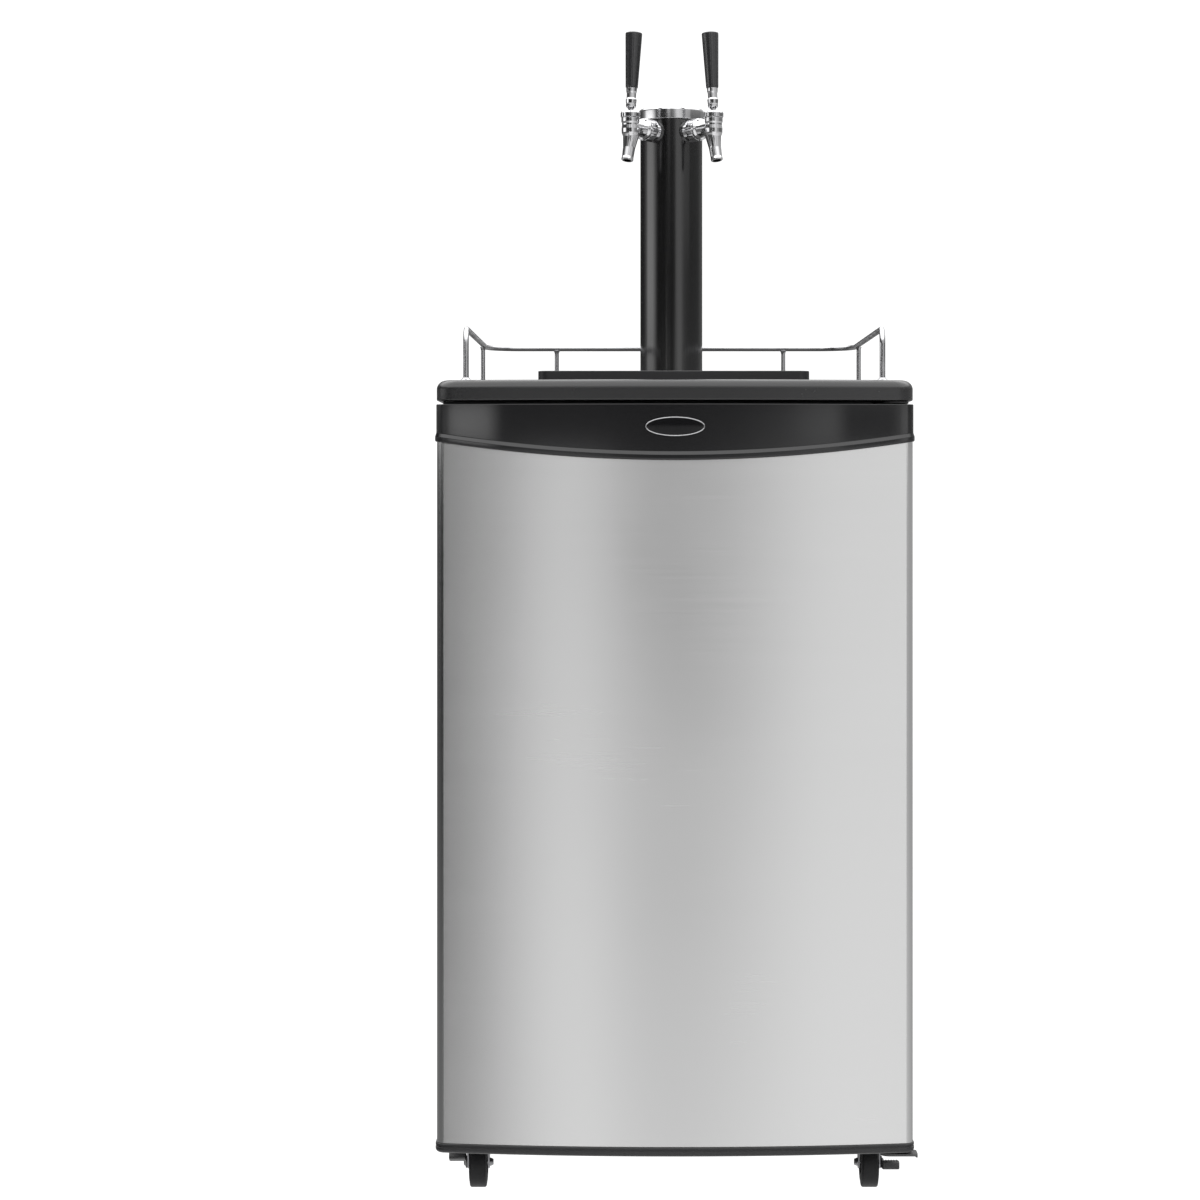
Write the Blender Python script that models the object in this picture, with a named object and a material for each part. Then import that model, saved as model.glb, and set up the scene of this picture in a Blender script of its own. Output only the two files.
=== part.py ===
"""A keg cooler with a draught tower, two taps, a bowed door and four casters.

Metres, +Z up. The front faces -Y and the origin is on the floor under the middle of the object.
"""

import math

import bmesh
import bpy
from mathutils import Matrix, Vector

# Clearances
SEAT_GAP = 0.0003  # between pieces that rest on each other
RUNNING_GAP = 0.0005  # round a pin that turns in its hole
OVERRUN = 0.004  # how far a cutter runs past the face that it opens

# Cabinet body
BODY_WIDTH = 0.520
BODY_DEPTH = 0.534
BODY_FRONT_Y = -0.242
BODY_BASE_Z = 0.074
BODY_HEIGHT = 0.8137
SHEET = 0.0010
BASE_SHEET = 0.0020

# Keg compartment
SIDE_WALL = 0.040
REAR_WALL = 0.040
FLOOR_WALL = 0.042
CEILING_WALL = 0.0447
LINER_WALL = 0.0015
HUMP_DEPTH = 0.069
HUMP_HEIGHT = 0.192
HUMP_WALL = 0.030
FLOOR_PLATE_MARGIN = 0.020
FLOOR_PLATE_THICKNESS = 0.0020

# Evaporator plate
EVAPORATOR_WIDTH = 0.340
EVAPORATOR_HEIGHT = 0.300
EVAPORATOR_RISE = 0.150  # above the step
EVAPORATOR_THICKNESS = 0.0020

# Thermostat
THERMOSTAT_SIZE = (0.032, 0.100, 0.060)
THERMOSTAT_DROP = 0.015  # below the ceiling
THERMOSTAT_Y = 0.100
KNOB_RADIUS = 0.017
KNOB_DEPTH = 0.014
KNOB_SKIRT = 0.004
KNOB_PIN_RADIUS = 0.003
KNOB_PIN_LENGTH = 0.006

# Worktop
TOP_OVERHANG = 0.0035
TOP_FRONT_REACH = 0.048  # in front of the body, at the sides
TOP_BOW = 0.020
TOP_REAR_REACH = 0.008
TOP_THICKNESS = 0.023
TOP_LIFT = 0.0033  # above the body, left as a shadow gap
TOP_SKIN = 0.005
TOP_RIM_INSET = 0.0015
TOP_RIM_WIDTH = 0.006
TOP_EDGE_RADIUS = 0.009
TOP_FOOT_RADIUS = 0.003
TOP_CORNER_RADIUS = 0.022

# Hole for the beer lines through worktop, body and liner
LINE_HOLE_RADIUS = 0.030

# Door
DOOR_OVERHANG = 0.0025
DOOR_GAP = 0.006
DOOR_THICKNESS = 0.042  # at its side edges
DOOR_BOW = 0.020
DOOR_DROP = 0.011  # how far the door hangs below the body
DOOR_TOP_DROP = 0.0007
DOOR_EDGE_RADIUS = 0.010
DOOR_LINER_THICKNESS = 0.0022
DOOR_FIELD_HEIGHT = 0.006
DOOR_FIELD_MARGIN = 0.016
SKIN_THICKNESS = 0.0010
STRIP_SIDE_HEIGHT = 0.041
STRIP_SAG = 0.0205
STRIP_PROUD = 0.0008
STRIP_CAP = 0.0038
LIP_PROUD = 0.0022
LIP_HEIGHT = 0.0095
LIP_EDGE = 0.0015
TRIM_HEIGHT = 0.0105
TRIM_PROUD = 0.0015
TRIM_BEVEL = 0.0030
PLATE_WIDTH = 0.066
PLATE_HEIGHT = 0.022
PLATE_THICKNESS = 0.0016
PLATE_DROP = 0.025  # centre of the blank plate below the door's top
GASKET_WIDTH = 0.014
GASKET_MARGIN = 0.0115  # from the edge of the door liner

# Door hinge, on the right
HINGE_INSET = 0.015  # axis from the body's side
HINGE_FORWARD = 0.026  # axis in front of the body
HINGE_SHEET = 0.0025
HINGE_SPAN = 0.036
HINGE_REACH = 0.043  # of the brackets in front of the body
HINGE_HOOK = 0.008  # how far the lower bracket passes the body's side
HINGE_SEAT_LENGTH = 0.062  # of the upper bracket on the body
HINGE_LEG = 0.0255
HINGE_DROP = 0.003  # lower bracket below the door
PIN_RADIUS = 0.004
PIN_REACH = 0.018
PIN_WASHER_RADIUS = 0.0070

# Draught tower
TOWER_Y = 0.065
TOWER_RADIUS = 0.038
TOWER_WALL = 0.002
TOWER_HEIGHT = 0.330
FLANGE_RADIUS = 0.054
FLANGE_THICKNESS = 0.003
SLEEVE_BORE = 0.024
SLEEVE_TOP_DROP = 0.042
CAP_HEIGHT = 0.015
CAP_OVERHANG = 0.0022
CAP_ROUND = 0.004
CAP_WALL = 0.002
CAP_SPIGOT = 0.003  # how far the cap reaches into the tube

# Taps
TAP_ANGLE = math.radians(34.5)  # each side of straight ahead
TAP_DROP = 0.015  # shank axis below the tube's top
SHANK_RADIUS = 0.011
SHANK_BORE = 0.0045
SHANK_TAIL = 0.0265  # inner end, from the tower's axis
ELBOW_RADIUS = 0.0052
ELBOW_REACH = 0.009
ELBOW_DROP = 0.016
COLLAR_RADIUS = 0.0135
COLLAR_LENGTH = 0.0090
JAM_NUT_RADIUS = 0.0150
JAM_NUT_LENGTH = 0.0050
COUPLING_RADIUS = 0.0135
COUPLING_LENGTH = 0.0120
TAP_REACH = 0.088  # upright axis of the tap, from the tower's axis
BARREL_RADIUS = 0.0095
BARREL_FLANGE_RADIUS = 0.0128
BARREL_FLANGE = 0.0030
RISER_RADIUS = 0.0108
RISER_DROP = 0.014
PIVOT_RISE = 0.011
BALL_RADIUS = 0.0056
SOCKET_RADIUS = 0.0060
SPOUT_DROP = 0.041
SPOUT_LEAN = 0.007
SPOUT_RADIUS = 0.0072
SPOUT_BORE = 0.0046
BONNET_RADIUS = 0.0120
BONNET_BORE = 0.0095
BONNET_HEIGHT = 0.0075
LEVER_RADIUS = 0.0030
LEVER_TIP_RADIUS = 0.0014
LEVER_LEAN = math.radians(4.0)
LEVER_HEIGHT = 0.0165
FERRULE_RADIUS = 0.0066
FERRULE_HEIGHT = 0.0190
HANDLE_HEIGHT = 0.0672
HANDLE_BASE_RADIUS = 0.0076
HANDLE_TOP_RADIUS = 0.0102
HANDLE_ROUND = 0.0025
PLUNGER_RADIUS = 0.0028
PLUNGER_WASHER_RADIUS = 0.0040
PLUNGER_LENGTH = 0.026
PLUNGER_GAP = 0.0005  # from the lever's tip

# Beer lines
LINE_RADIUS = 0.00475
LINE_BEND = 0.040
LINE_CEILING_GAP = 0.012
LINE_WALL_GAP = 0.0005
LINE_END_RISE = 0.110  # lower end above the step
LINE_SPREAD = 0.030  # half the space between the lines on the rear wall
LINE_NUT_RADIUS = 0.014
LINE_NUT_HEIGHT = 0.012
LINE_NUT_SHIFT = 0.006  # nut's axis in front of the line's
CLIP_WIDTH = 0.020
CLIP_HEIGHT = 0.012
CLIP_DEPTH = 0.015
CLIP_DROP = 0.018  # below the evaporator plate

# Drip tray
TRAY_WIDTH = 0.309
TRAY_DEPTH = 0.190
TRAY_FRONT_Y = -0.190
TRAY_HEIGHT = 0.014
TRAY_WALL = 0.002
TRAY_LEDGE = 0.003
TRAY_CORNER = 0.012
GRATE_THICKNESS = 0.002
GRATE_CLEARANCE = 0.0012
GRATE_SLOTS = 15
GRATE_ROWS = 2
SLOT_WIDTH = 0.0060
SLOT_MARGIN = 0.014

# Guard rail
RAIL_RADIUS = 0.00325
RAIL_HEIGHT = 0.060
RAIL_HALF_WIDTH = 0.234
RAIL_FRONT_Y = -0.225
RAIL_REAR_Y = 0.220
RAIL_CORNER = 0.045
RAIL_FRONT_BEND = 0.018
POST_RADIUS = 0.00275
SIDE_POST_Y = 0.120
REAR_POST_X = 0.145
RAIL_FOOT_RADIUS = 0.0070
RAIL_FOOT_HEIGHT = 0.004

# Compressor and condenser
COMPRESSOR_WIDTH = 0.150
COMPRESSOR_DEPTH = 0.088
COMPRESSOR_HEIGHT = 0.145
COMPRESSOR_X = -0.060
COMPRESSOR_REAR_GAP = 0.001  # behind the machine compartment's front wall
FOOT_PLATE_WIDTH = 0.200
FOOT_PLATE_THICKNESS = 0.0025
MOUNT_RADIUS = 0.010
MOUNT_HEIGHT = 0.016
MOUNT_MARGIN = 0.014
PAN_WIDTH = 0.120
PAN_DEPTH = 0.070
PAN_HEIGHT = 0.018
PAN_WALL = 0.002
CONDENSER_WIDTH = 0.420
CONDENSER_RUNS = 7
CONDENSER_PITCH = 0.074
CONDENSER_TUBE_RADIUS = 0.0024
CONDENSER_BASE_Z = 0.330
CONDENSER_STANDOFF = 0.010
WIRE_COUNT = 7
WIRE_SIZE = 0.0016
BRACKET_WIDTH = 0.012
BRACKET_HEIGHT = 0.014
INLET_FROM_SIDE = 0.090
INLET_PLATE = (0.060, 0.0015, 0.080)
INLET_REAR_GAP = 0.006
GLAND_RADIUS = 0.009
GLAND_LENGTH = 0.014
GLAND_BORE = 0.0035
GLAND_SOCKET = 0.0020  # depth of its closed mouth

# Casters
CASTER_INSET_X = 0.038  # swivel axis from the body's side
CASTER_INSET_Y = 0.044
CASTER_TRAIL = 0.015
CASTER_PLATE = 0.044
CASTER_PLATE_THICKNESS = 0.0025
WHEEL_RADIUS = 0.0280
WHEEL_WIDTH = 0.020
WHEEL_ROUND = 0.004
HUB_RADIUS = 0.013
HUB_RECESS = 0.0015
AXLE_RADIUS = 0.003
AXLE_END = 0.0040  # beyond the fork leg
LEG_GAP = 0.0008
LEG_THICKNESS = 0.0020
LEG_FOOT = 0.0070
CROWN_CLEARANCE = 0.0030  # above the wheel
CROWN_THICKNESS = 0.003
RACE_RADIUS = 0.013
KINGPIN_RADIUS = 0.004
BRAKE_ARM = 0.0255
BRAKE_SHEET = 0.0015
BRAKE_TAB_REACH = 0.0190
BRAKE_TAB_HEIGHT = 0.0090
BRAKE_TAB_DEPTH = 0.0120
BRAKE_TAB_SHARE = 1.04  # tab's height against the arm's
BRAKE_BOSS_SWEEP_SHARE = 1.35
BRAKE_UP = math.radians(28.0)
BRAKE_DOWN = math.radians(5.6)

# Drawing detail
ROUND_SIDES = 16
FINE_SIDES = 36
WHEEL_SIDES = 24
SMALL_SIDES = 8
CORNER_STEPS = 4
BOW_STEPS = 16
TUBE_SIDES = 8
SHARP_ANGLE = math.radians(34)

# Places worked out from the sizes
HALF_WIDTH = BODY_WIDTH / 2
BODY_REAR_Y = BODY_FRONT_Y + BODY_DEPTH
BODY_TOP_Z = BODY_BASE_Z + BODY_HEIGHT
CAVITY_HALF = HALF_WIDTH - SIDE_WALL
CAVITY_FLOOR_Z = BODY_BASE_Z + FLOOR_WALL
CAVITY_CEILING_Z = BODY_TOP_Z - CEILING_WALL
CAVITY_REAR_Y = BODY_REAR_Y - REAR_WALL
STEP_FACE_Y = CAVITY_REAR_Y - HUMP_DEPTH
STEP_TOP_Z = CAVITY_FLOOR_Z + HUMP_HEIGHT
MACHINE_FACE_Y = STEP_FACE_Y + HUMP_WALL
MACHINE_TOP_Z = STEP_TOP_Z - HUMP_WALL
TOP_BASE_Z = BODY_TOP_Z + TOP_LIFT
TOP_Z = TOP_BASE_Z + TOP_THICKNESS
DECK_Z = TOP_Z + SEAT_GAP
DOOR_HALF = HALF_WIDTH + DOOR_OVERHANG
DOOR_REAR_Y = BODY_FRONT_Y - DOOR_GAP
DOOR_SIDE_Y = DOOR_REAR_Y - DOOR_THICKNESS
DOOR_FRONT_Y = DOOR_SIDE_Y - DOOR_BOW
DOOR_BASE_Z = BODY_BASE_Z - DOOR_DROP
DOOR_TOP_Z = BODY_TOP_Z - DOOR_TOP_DROP
HINGE_X = HALF_WIDTH - HINGE_INSET
HINGE_Y = BODY_FRONT_Y - HINGE_FORWARD
TOWER_BASE_Z = DECK_Z + FLANGE_THICKNESS
TOWER_TOP_Z = TOP_Z + TOWER_HEIGHT
TAP_Z = TOWER_TOP_Z - TAP_DROP
PIVOT_Z = TAP_Z + PIVOT_RISE
LINE_Y = CAVITY_REAR_Y - SEAT_GAP - EVAPORATOR_THICKNESS - LINE_WALL_GAP - LINE_RADIUS
EVAPORATOR_BASE_Z = STEP_TOP_Z + EVAPORATOR_RISE
EVAPORATOR_TOP_Z = EVAPORATOR_BASE_Z + EVAPORATOR_HEIGHT
COLLAR_END = TOWER_RADIUS + SEAT_GAP + COLLAR_LENGTH
COUPLING_END = COLLAR_END + SEAT_GAP + COUPLING_LENGTH
SWIVEL_FRONT_Y = BODY_FRONT_Y + CASTER_INSET_Y
SWIVEL_REAR_Y = BODY_REAR_Y - CASTER_INSET_Y
SWIVEL_X = HALF_WIDTH - CASTER_INSET_X
CASTER_PLATE_Z = BODY_BASE_Z - CASTER_PLATE_THICKNESS
LEG_INNER = WHEEL_WIDTH / 2 + LEG_GAP
LEG_OUTER = LEG_INNER + LEG_THICKNESS
SIDES = (("left", -1), ("right", 1))


# Materials

def paint(name, colour, roughness, metallic=0.0):
    """A plain Principled material."""
    material = bpy.data.materials.new(name)
    material.use_nodes = True
    shader = material.node_tree.nodes["Principled BSDF"]
    shader.inputs["Base Color"].default_value = (*colour, 1.0)
    shader.inputs["Roughness"].default_value = roughness
    shader.inputs["Metallic"].default_value = metallic
    material.diffuse_color = (*colour, 1.0)
    return material


def make_materials():
    return {
        "black_paint": paint("black_paint", (0.022, 0.022, 0.023), 0.42),
        "black_gloss": paint("black_gloss", (0.012, 0.012, 0.013), 0.12),
        "black_plastic": paint("black_plastic", (0.030, 0.030, 0.031), 0.38),
        "stainless": paint("stainless", (0.58, 0.58, 0.59), 0.30, 1.0),
        "chrome": paint("chrome", (0.80, 0.80, 0.82), 0.08, 1.0),
        "zinc": paint("zinc", (0.52, 0.53, 0.54), 0.38, 1.0),
        "aluminium": paint("aluminium", (0.66, 0.67, 0.68), 0.40, 1.0),
        "white_plastic": paint("white_plastic", (0.78, 0.79, 0.78), 0.30),
        "foam": paint("foam", (0.72, 0.62, 0.38), 0.90),
        "grey_rubber": paint("grey_rubber", (0.30, 0.30, 0.31), 0.75),
        "black_rubber": paint("black_rubber", (0.020, 0.020, 0.021), 0.65),
        "hose": paint("hose", (0.62, 0.64, 0.62), 0.35),
        "handle": paint("handle", (0.045, 0.045, 0.047), 0.35),
    }


# Building blocks

def loft(bm, rings, closed=False):
    """Joins rings of points into one closed solid; a ring of one point closes it as an apex."""
    rows = [[bm.verts.new(point) for point in ring] for ring in rings]
    pairs = list(zip(rows, rows[1:]))
    if closed:
        pairs.append((rows[-1], rows[0]))
    for lower, upper in pairs:
        count = max(len(lower), len(upper))
        for i in range(count):
            j = (i + 1) % count
            corners = []
            for vert in (lower[i % len(lower)], lower[j % len(lower)]):
                if vert not in corners:
                    corners.append(vert)
            for vert in (upper[j % len(upper)], upper[i % len(upper)]):
                if vert not in corners:
                    corners.append(vert)
            bm.faces.new(corners)
    if not closed:
        for row in (rows[0], rows[-1]):
            if len(row) > 2:
                bm.faces.new(row)
    return [vert for row in rows for vert in row]


def prism(bm, outline, low, high):
    """A flat outline of (x, y) points raised from low to high."""
    return loft(bm, [[(x, y, z) for x, y in outline] for z in (low, high)])


def block(bm, low, high):
    """A box between two corners."""
    outline = [(low[0], low[1]), (high[0], low[1]), (high[0], high[1]), (low[0], high[1])]
    return prism(bm, outline, low[2], high[2])


def circle(radius, sides, centre=(0, 0)):
    turn = 2 * math.pi / sides
    return [
        (centre[0] + radius * math.cos(turn * i), centre[1] + radius * math.sin(turn * i))
        for i in range(sides)
    ]


def turned(bm, profile, sides, frame=None, ring=False, squeeze=(1, 1)):
    """A solid turned round frame's Z axis from (radius, height) points; ring profiles close on themselves."""
    rings = []
    for radius, height in profile:
        if radius == 0:
            rings.append([(0, 0, height)])
            continue
        rings.append([(x * squeeze[0], y * squeeze[1], height) for x, y in circle(radius, sides)])
    verts = loft(bm, rings, closed=ring)
    if frame is not None:
        bmesh.ops.transform(bm, matrix=frame, verts=verts)
    return verts


def rod(bm, radius, start, end, sides=ROUND_SIDES):
    """A round bar between two points."""
    start, end = Vector(start), Vector(end)
    return turned(bm, [(radius, 0), (radius, (end - start).length)], sides, facing(start, end - start))


def pipe(bm, outer, bore, start, end, sides=ROUND_SIDES):
    """A round tube between two points."""
    start, end = Vector(start), Vector(end)
    length = (end - start).length
    profile = [(bore, 0), (outer, 0), (outer, length), (bore, length)]
    return turned(bm, profile, sides, facing(start, end - start), ring=True)


def facing(point, direction):
    """A frame at point whose Z axis runs along direction."""
    turn = Vector(direction).to_track_quat("Z", "Y").to_matrix().to_4x4()
    return Matrix.Translation(Vector(point)) @ turn


def sweep(bm, points, radius, sides=TUBE_SIDES):
    """A round wire along a path, its section carried along without twist."""
    points = [Vector(point) for point in points]
    ahead = (points[1] - points[0]).normalized()
    across = ahead.orthogonal().normalized()
    rings = []
    for i, point in enumerate(points):
        before = points[max(i - 1, 0)]
        after = points[min(i + 1, len(points) - 1)]
        heading = (after - before).normalized()
        across = ahead.rotation_difference(heading) @ across
        ahead = heading
        upward = ahead.cross(across)
        rings.append([point + across * x + upward * y for x, y in circle(radius, sides)])
    return loft(bm, rings)


def rounded_route(corners, bends, steps=CORNER_STEPS):
    """A route of straight runs through corner points, each inner corner eased by its bend radius."""
    corners = [Vector(corner) for corner in corners]
    route = [corners[0]]
    for i, radius in enumerate(bends, start=1):
        back = (corners[i - 1] - corners[i]).normalized()
        onward = (corners[i + 1] - corners[i]).normalized()
        half = back.angle(onward) / 2
        reach = radius / math.tan(half)
        middle = corners[i] + (back + onward).normalized() * (radius / math.sin(half))
        first = (corners[i] + back * reach - middle).normalized()
        last = (corners[i] + onward * reach - middle).normalized()
        for k in range(steps + 1):
            route.append(middle + first.slerp(last, k / steps) * radius)
    route.append(corners[-1])
    return route


def as_mesh(bm):
    bmesh.ops.recalc_face_normals(bm, faces=bm.faces)
    mesh = bpy.data.meshes.new("shape")
    bm.to_mesh(mesh)
    bm.free()
    return mesh


def drawn(draw, *values):
    """The mesh that one drawing function makes."""
    bm = bmesh.new()
    draw(bm, *values)
    return as_mesh(bm)


def carved(base, joined=(), cut=()):
    """The base mesh with others joined to it and then others cut from it."""
    tools = [(mesh, "UNION") for mesh in joined] + [(mesh, "DIFFERENCE") for mesh in cut]
    body = bpy.data.objects.new("carving", base)
    bpy.context.scene.collection.objects.link(body)
    helpers = [body]
    for mesh, operation in tools:
        helper = bpy.data.objects.new("tool", mesh)
        bpy.context.scene.collection.objects.link(helper)
        helpers.append(helper)
        modifier = body.modifiers.new("shape", "BOOLEAN")
        modifier.operation = operation
        modifier.object = helper
    evaluated = body.evaluated_get(bpy.context.evaluated_depsgraph_get())
    result = bpy.data.meshes.new_from_object(evaluated)
    for helper in helpers:
        bpy.data.objects.remove(helper)
    return result


def piece(name, mesh, material, parent=None, at=(0, 0, 0), turn=0.0):
    """One named sub-part, smooth on its rounds."""
    obj = bpy.data.objects.new(name, mesh)
    bpy.context.scene.collection.objects.link(obj)
    if not mesh.materials:
        mesh.materials.append(material)
        mesh.shade_smooth()
        mesh.set_sharp_from_angle(angle=SHARP_ANGLE)
    obj.parent = parent
    obj.location = at
    obj.rotation_euler.z = turn
    return obj


def pivot(name, at, turn=0.0, parent=None):
    """An empty on a joint's axis that carries what moves there."""
    empty = bpy.data.objects.new(name, None)
    bpy.context.scene.collection.objects.link(empty)
    empty.location = at
    empty.rotation_euler.z = turn
    empty.parent = parent
    return empty


def rounded_rectangle(half_x, half_y, radius, centre=(0, 0), steps=CORNER_STEPS):
    outline = []
    corners = ((1, 1, 0), (-1, 1, 1), (-1, -1, 2), (1, -1, 3))
    for sign_x, sign_y, quarter in corners:
        for k in range(steps + 1):
            angle = math.pi / 2 * (quarter + k / steps)
            outline.append((
                centre[0] + sign_x * (half_x - radius) + radius * math.cos(angle),
                centre[1] + sign_y * (half_y - radius) + radius * math.sin(angle),
            ))
    return outline


def bowed_front(half, side_y, bow, radius):
    """Stations along a bowed front from left to right: each a point and its outward direction."""
    bow_radius = (half ** 2 + bow ** 2) / (2 * bow)
    centre_y = side_y - bow + bow_radius
    corner_x = half - radius
    corner_y = centre_y - math.sqrt((bow_radius - radius) ** 2 - corner_x ** 2)
    swing = math.atan2(corner_x, centre_y - corner_y)
    left = []
    for k in range(CORNER_STEPS + 1):
        angle = math.pi / 2 + (swing - math.pi / 2) * k / CORNER_STEPS
        outward = Vector((-math.sin(angle), -math.cos(angle)))
        left.append((Vector((-corner_x, corner_y)) + outward * radius, outward))
    front = []
    for k in range(1, BOW_STEPS):
        angle = swing * (1 - 2 * k / BOW_STEPS)
        outward = Vector((-math.sin(angle), -math.cos(angle)))
        front.append((Vector((0, centre_y)) + outward * bow_radius, outward))
    right = [(Vector((-p.x, p.y)), Vector((-n.x, n.y))) for p, n in reversed(left)]
    return left + front + right


# Cabinet

def compartment(bm, grown, front_y):
    """The keg compartment's space, with its step at the lower rear, grown all round."""
    floor = CAVITY_FLOOR_Z - grown
    ceiling = CAVITY_CEILING_Z + grown
    profile = [
        (front_y, floor),
        (STEP_FACE_Y + grown, floor),
        (STEP_FACE_Y + grown, STEP_TOP_Z - grown),
        (CAVITY_REAR_Y + grown, STEP_TOP_Z - grown),
        (CAVITY_REAR_Y + grown, ceiling),
        (front_y, ceiling),
    ]
    half = CAVITY_HALF + grown
    loft(bm, [[(x, y, z) for y, z in profile] for x in (-half, half)])


def line_hole(bm, low, high):
    rod(bm, LINE_HOLE_RADIUS, (0, TOWER_Y, low), (0, TOWER_Y, high), FINE_SIDES)


def make_cabinet(finish):
    inner_half = HALF_WIDTH - SHEET - SEAT_GAP
    inner_top = BODY_TOP_Z - SHEET - SEAT_GAP
    foam_base = BODY_BASE_Z + BASE_SHEET + SEAT_GAP
    foam_front = BODY_FRONT_Y + LINER_WALL + SEAT_GAP
    foam_rear = BODY_REAR_Y - SHEET - SEAT_GAP
    hole = (CAVITY_CEILING_Z - OVERRUN, BODY_TOP_Z + OVERRUN)

    pan = drawn(block, (-HALF_WIDTH, BODY_FRONT_Y, BODY_BASE_Z), (HALF_WIDTH, BODY_REAR_Y, BODY_BASE_Z + BASE_SHEET))
    seats, holes = [], []
    for y in (SWIVEL_FRONT_Y, SWIVEL_REAR_Y):
        for name, side in SIDES:
            outline = rounded_rectangle(CASTER_PLATE / 2, CASTER_PLATE / 2, KINGPIN_RADIUS, (side * SWIVEL_X, y))
            seats.append(drawn(prism, outline, CASTER_PLATE_Z, BODY_BASE_Z + BASE_SHEET / 2))
            low, high = (side * SWIVEL_X, y, CASTER_PLATE_Z - OVERRUN), (side * SWIVEL_X, y, BODY_BASE_Z)
            holes.append(drawn(rod, KINGPIN_RADIUS + RUNNING_GAP, low, high))
    piece("base_frame", carved(pan, joined=seats, cut=holes), finish["black_paint"])

    section = [
        (-HALF_WIDTH, foam_base), (-HALF_WIDTH, BODY_TOP_Z),
        (HALF_WIDTH, BODY_TOP_Z), (HALF_WIDTH, foam_base),
        (HALF_WIDTH - SHEET, foam_base), (HALF_WIDTH - SHEET, BODY_TOP_Z - SHEET),
        (-HALF_WIDTH + SHEET, BODY_TOP_Z - SHEET), (-HALF_WIDTH + SHEET, foam_base),
    ]
    wrap = drawn(loft, [[(x, y, z) for x, z in section] for y in (BODY_FRONT_Y, BODY_REAR_Y)])
    piece("cabinet_shell", carved(wrap, cut=[drawn(line_hole, *hole)]), finish["black_paint"])

    panel = drawn(block, (-inner_half, BODY_REAR_Y - SHEET, MACHINE_TOP_Z), (inner_half, BODY_REAR_Y, inner_top))
    piece("rear_panel", panel, finish["black_paint"])

    foam = drawn(block, (-inner_half, foam_front, foam_base), (inner_half, foam_rear, inner_top))
    machine = drawn(block, (-HALF_WIDTH, MACHINE_FACE_Y, BODY_BASE_Z),
                    (HALF_WIDTH, BODY_REAR_Y + OVERRUN, MACHINE_TOP_Z))
    space = drawn(compartment, LINER_WALL + SEAT_GAP, BODY_FRONT_Y - OVERRUN)
    piece("insulation_foam", carved(foam, cut=[machine, space, drawn(line_hole, *hole)]), finish["foam"])

    flange = drawn(block, (-inner_half, BODY_FRONT_Y, foam_base), (inner_half, BODY_FRONT_Y + LINER_WALL, inner_top))
    tub = drawn(compartment, LINER_WALL, BODY_FRONT_Y + LINER_WALL / 2)
    hollow = drawn(compartment, 0, BODY_FRONT_Y - OVERRUN)
    liner = carved(flange, joined=[tub], cut=[hollow, drawn(line_hole, *hole)])
    piece("inner_liner", liner, finish["white_plastic"])

    margin = FLOOR_PLATE_MARGIN
    low = CAVITY_FLOOR_Z + SEAT_GAP
    floor = drawn(block, (-CAVITY_HALF + margin, BODY_FRONT_Y + margin, low),
                  (CAVITY_HALF - margin, STEP_FACE_Y - margin / 2, low + FLOOR_PLATE_THICKNESS))
    piece("keg_floor_plate", floor, finish["zinc"])

    rear = CAVITY_REAR_Y - SEAT_GAP
    plate = drawn(block, (-EVAPORATOR_WIDTH / 2, rear - EVAPORATOR_THICKNESS, EVAPORATOR_BASE_Z),
                  (EVAPORATOR_WIDTH / 2, rear, EVAPORATOR_TOP_Z))
    piece("evaporator_plate", plate, finish["aluminium"])


def make_thermostat(finish):
    width, depth, height = THERMOSTAT_SIZE
    right = CAVITY_HALF - SEAT_GAP
    top = CAVITY_CEILING_Z - THERMOSTAT_DROP
    middle = (right - width, THERMOSTAT_Y, top - height / 2)
    housing = drawn(block, (right - width, THERMOSTAT_Y - depth / 2, top - height),
                    (right, THERMOSTAT_Y + depth / 2, top))
    socket = drawn(rod, KNOB_PIN_RADIUS + RUNNING_GAP, (middle[0] - OVERRUN, *middle[1:]),
                   (middle[0] + KNOB_PIN_LENGTH + RUNNING_GAP, *middle[1:]))
    piece("thermostat_housing", carved(housing, cut=[socket]), finish["white_plastic"])
    profile = [
        (0, -KNOB_PIN_LENGTH), (KNOB_PIN_RADIUS, -KNOB_PIN_LENGTH), (KNOB_PIN_RADIUS, SEAT_GAP),
        (KNOB_RADIUS, SEAT_GAP), (KNOB_RADIUS, KNOB_SKIRT), (KNOB_RADIUS * 0.8, KNOB_DEPTH), (0, KNOB_DEPTH),
    ]
    knob = drawn(turned, profile, ROUND_SIDES, facing((0, 0, 0), (-1, 0, 0)))
    piece("thermostat_knob", knob, finish["black_plastic"], at=middle)


# Worktop and what stands on it

def worktop_outline(inset):
    """The worktop's plan: bowed front, rounded rear corners, drawn in all round by inset."""
    half = HALF_WIDTH + TOP_OVERHANG - inset
    stations = bowed_front(half, BODY_FRONT_Y - TOP_FRONT_REACH + inset, TOP_BOW, TOP_CORNER_RADIUS)
    outline = [tuple(point) for point, outward in stations]
    rear = BODY_REAR_Y + TOP_REAR_REACH - inset
    for sign, quarter in ((1, 0), (-1, 1)):
        for k in range(CORNER_STEPS + 1):
            angle = math.pi / 2 * (quarter + k / CORNER_STEPS)
            outline.append((
                sign * (half - TOP_CORNER_RADIUS) + TOP_CORNER_RADIUS * math.cos(angle),
                rear - TOP_CORNER_RADIUS + TOP_CORNER_RADIUS * math.sin(angle),
            ))
    return outline


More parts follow.
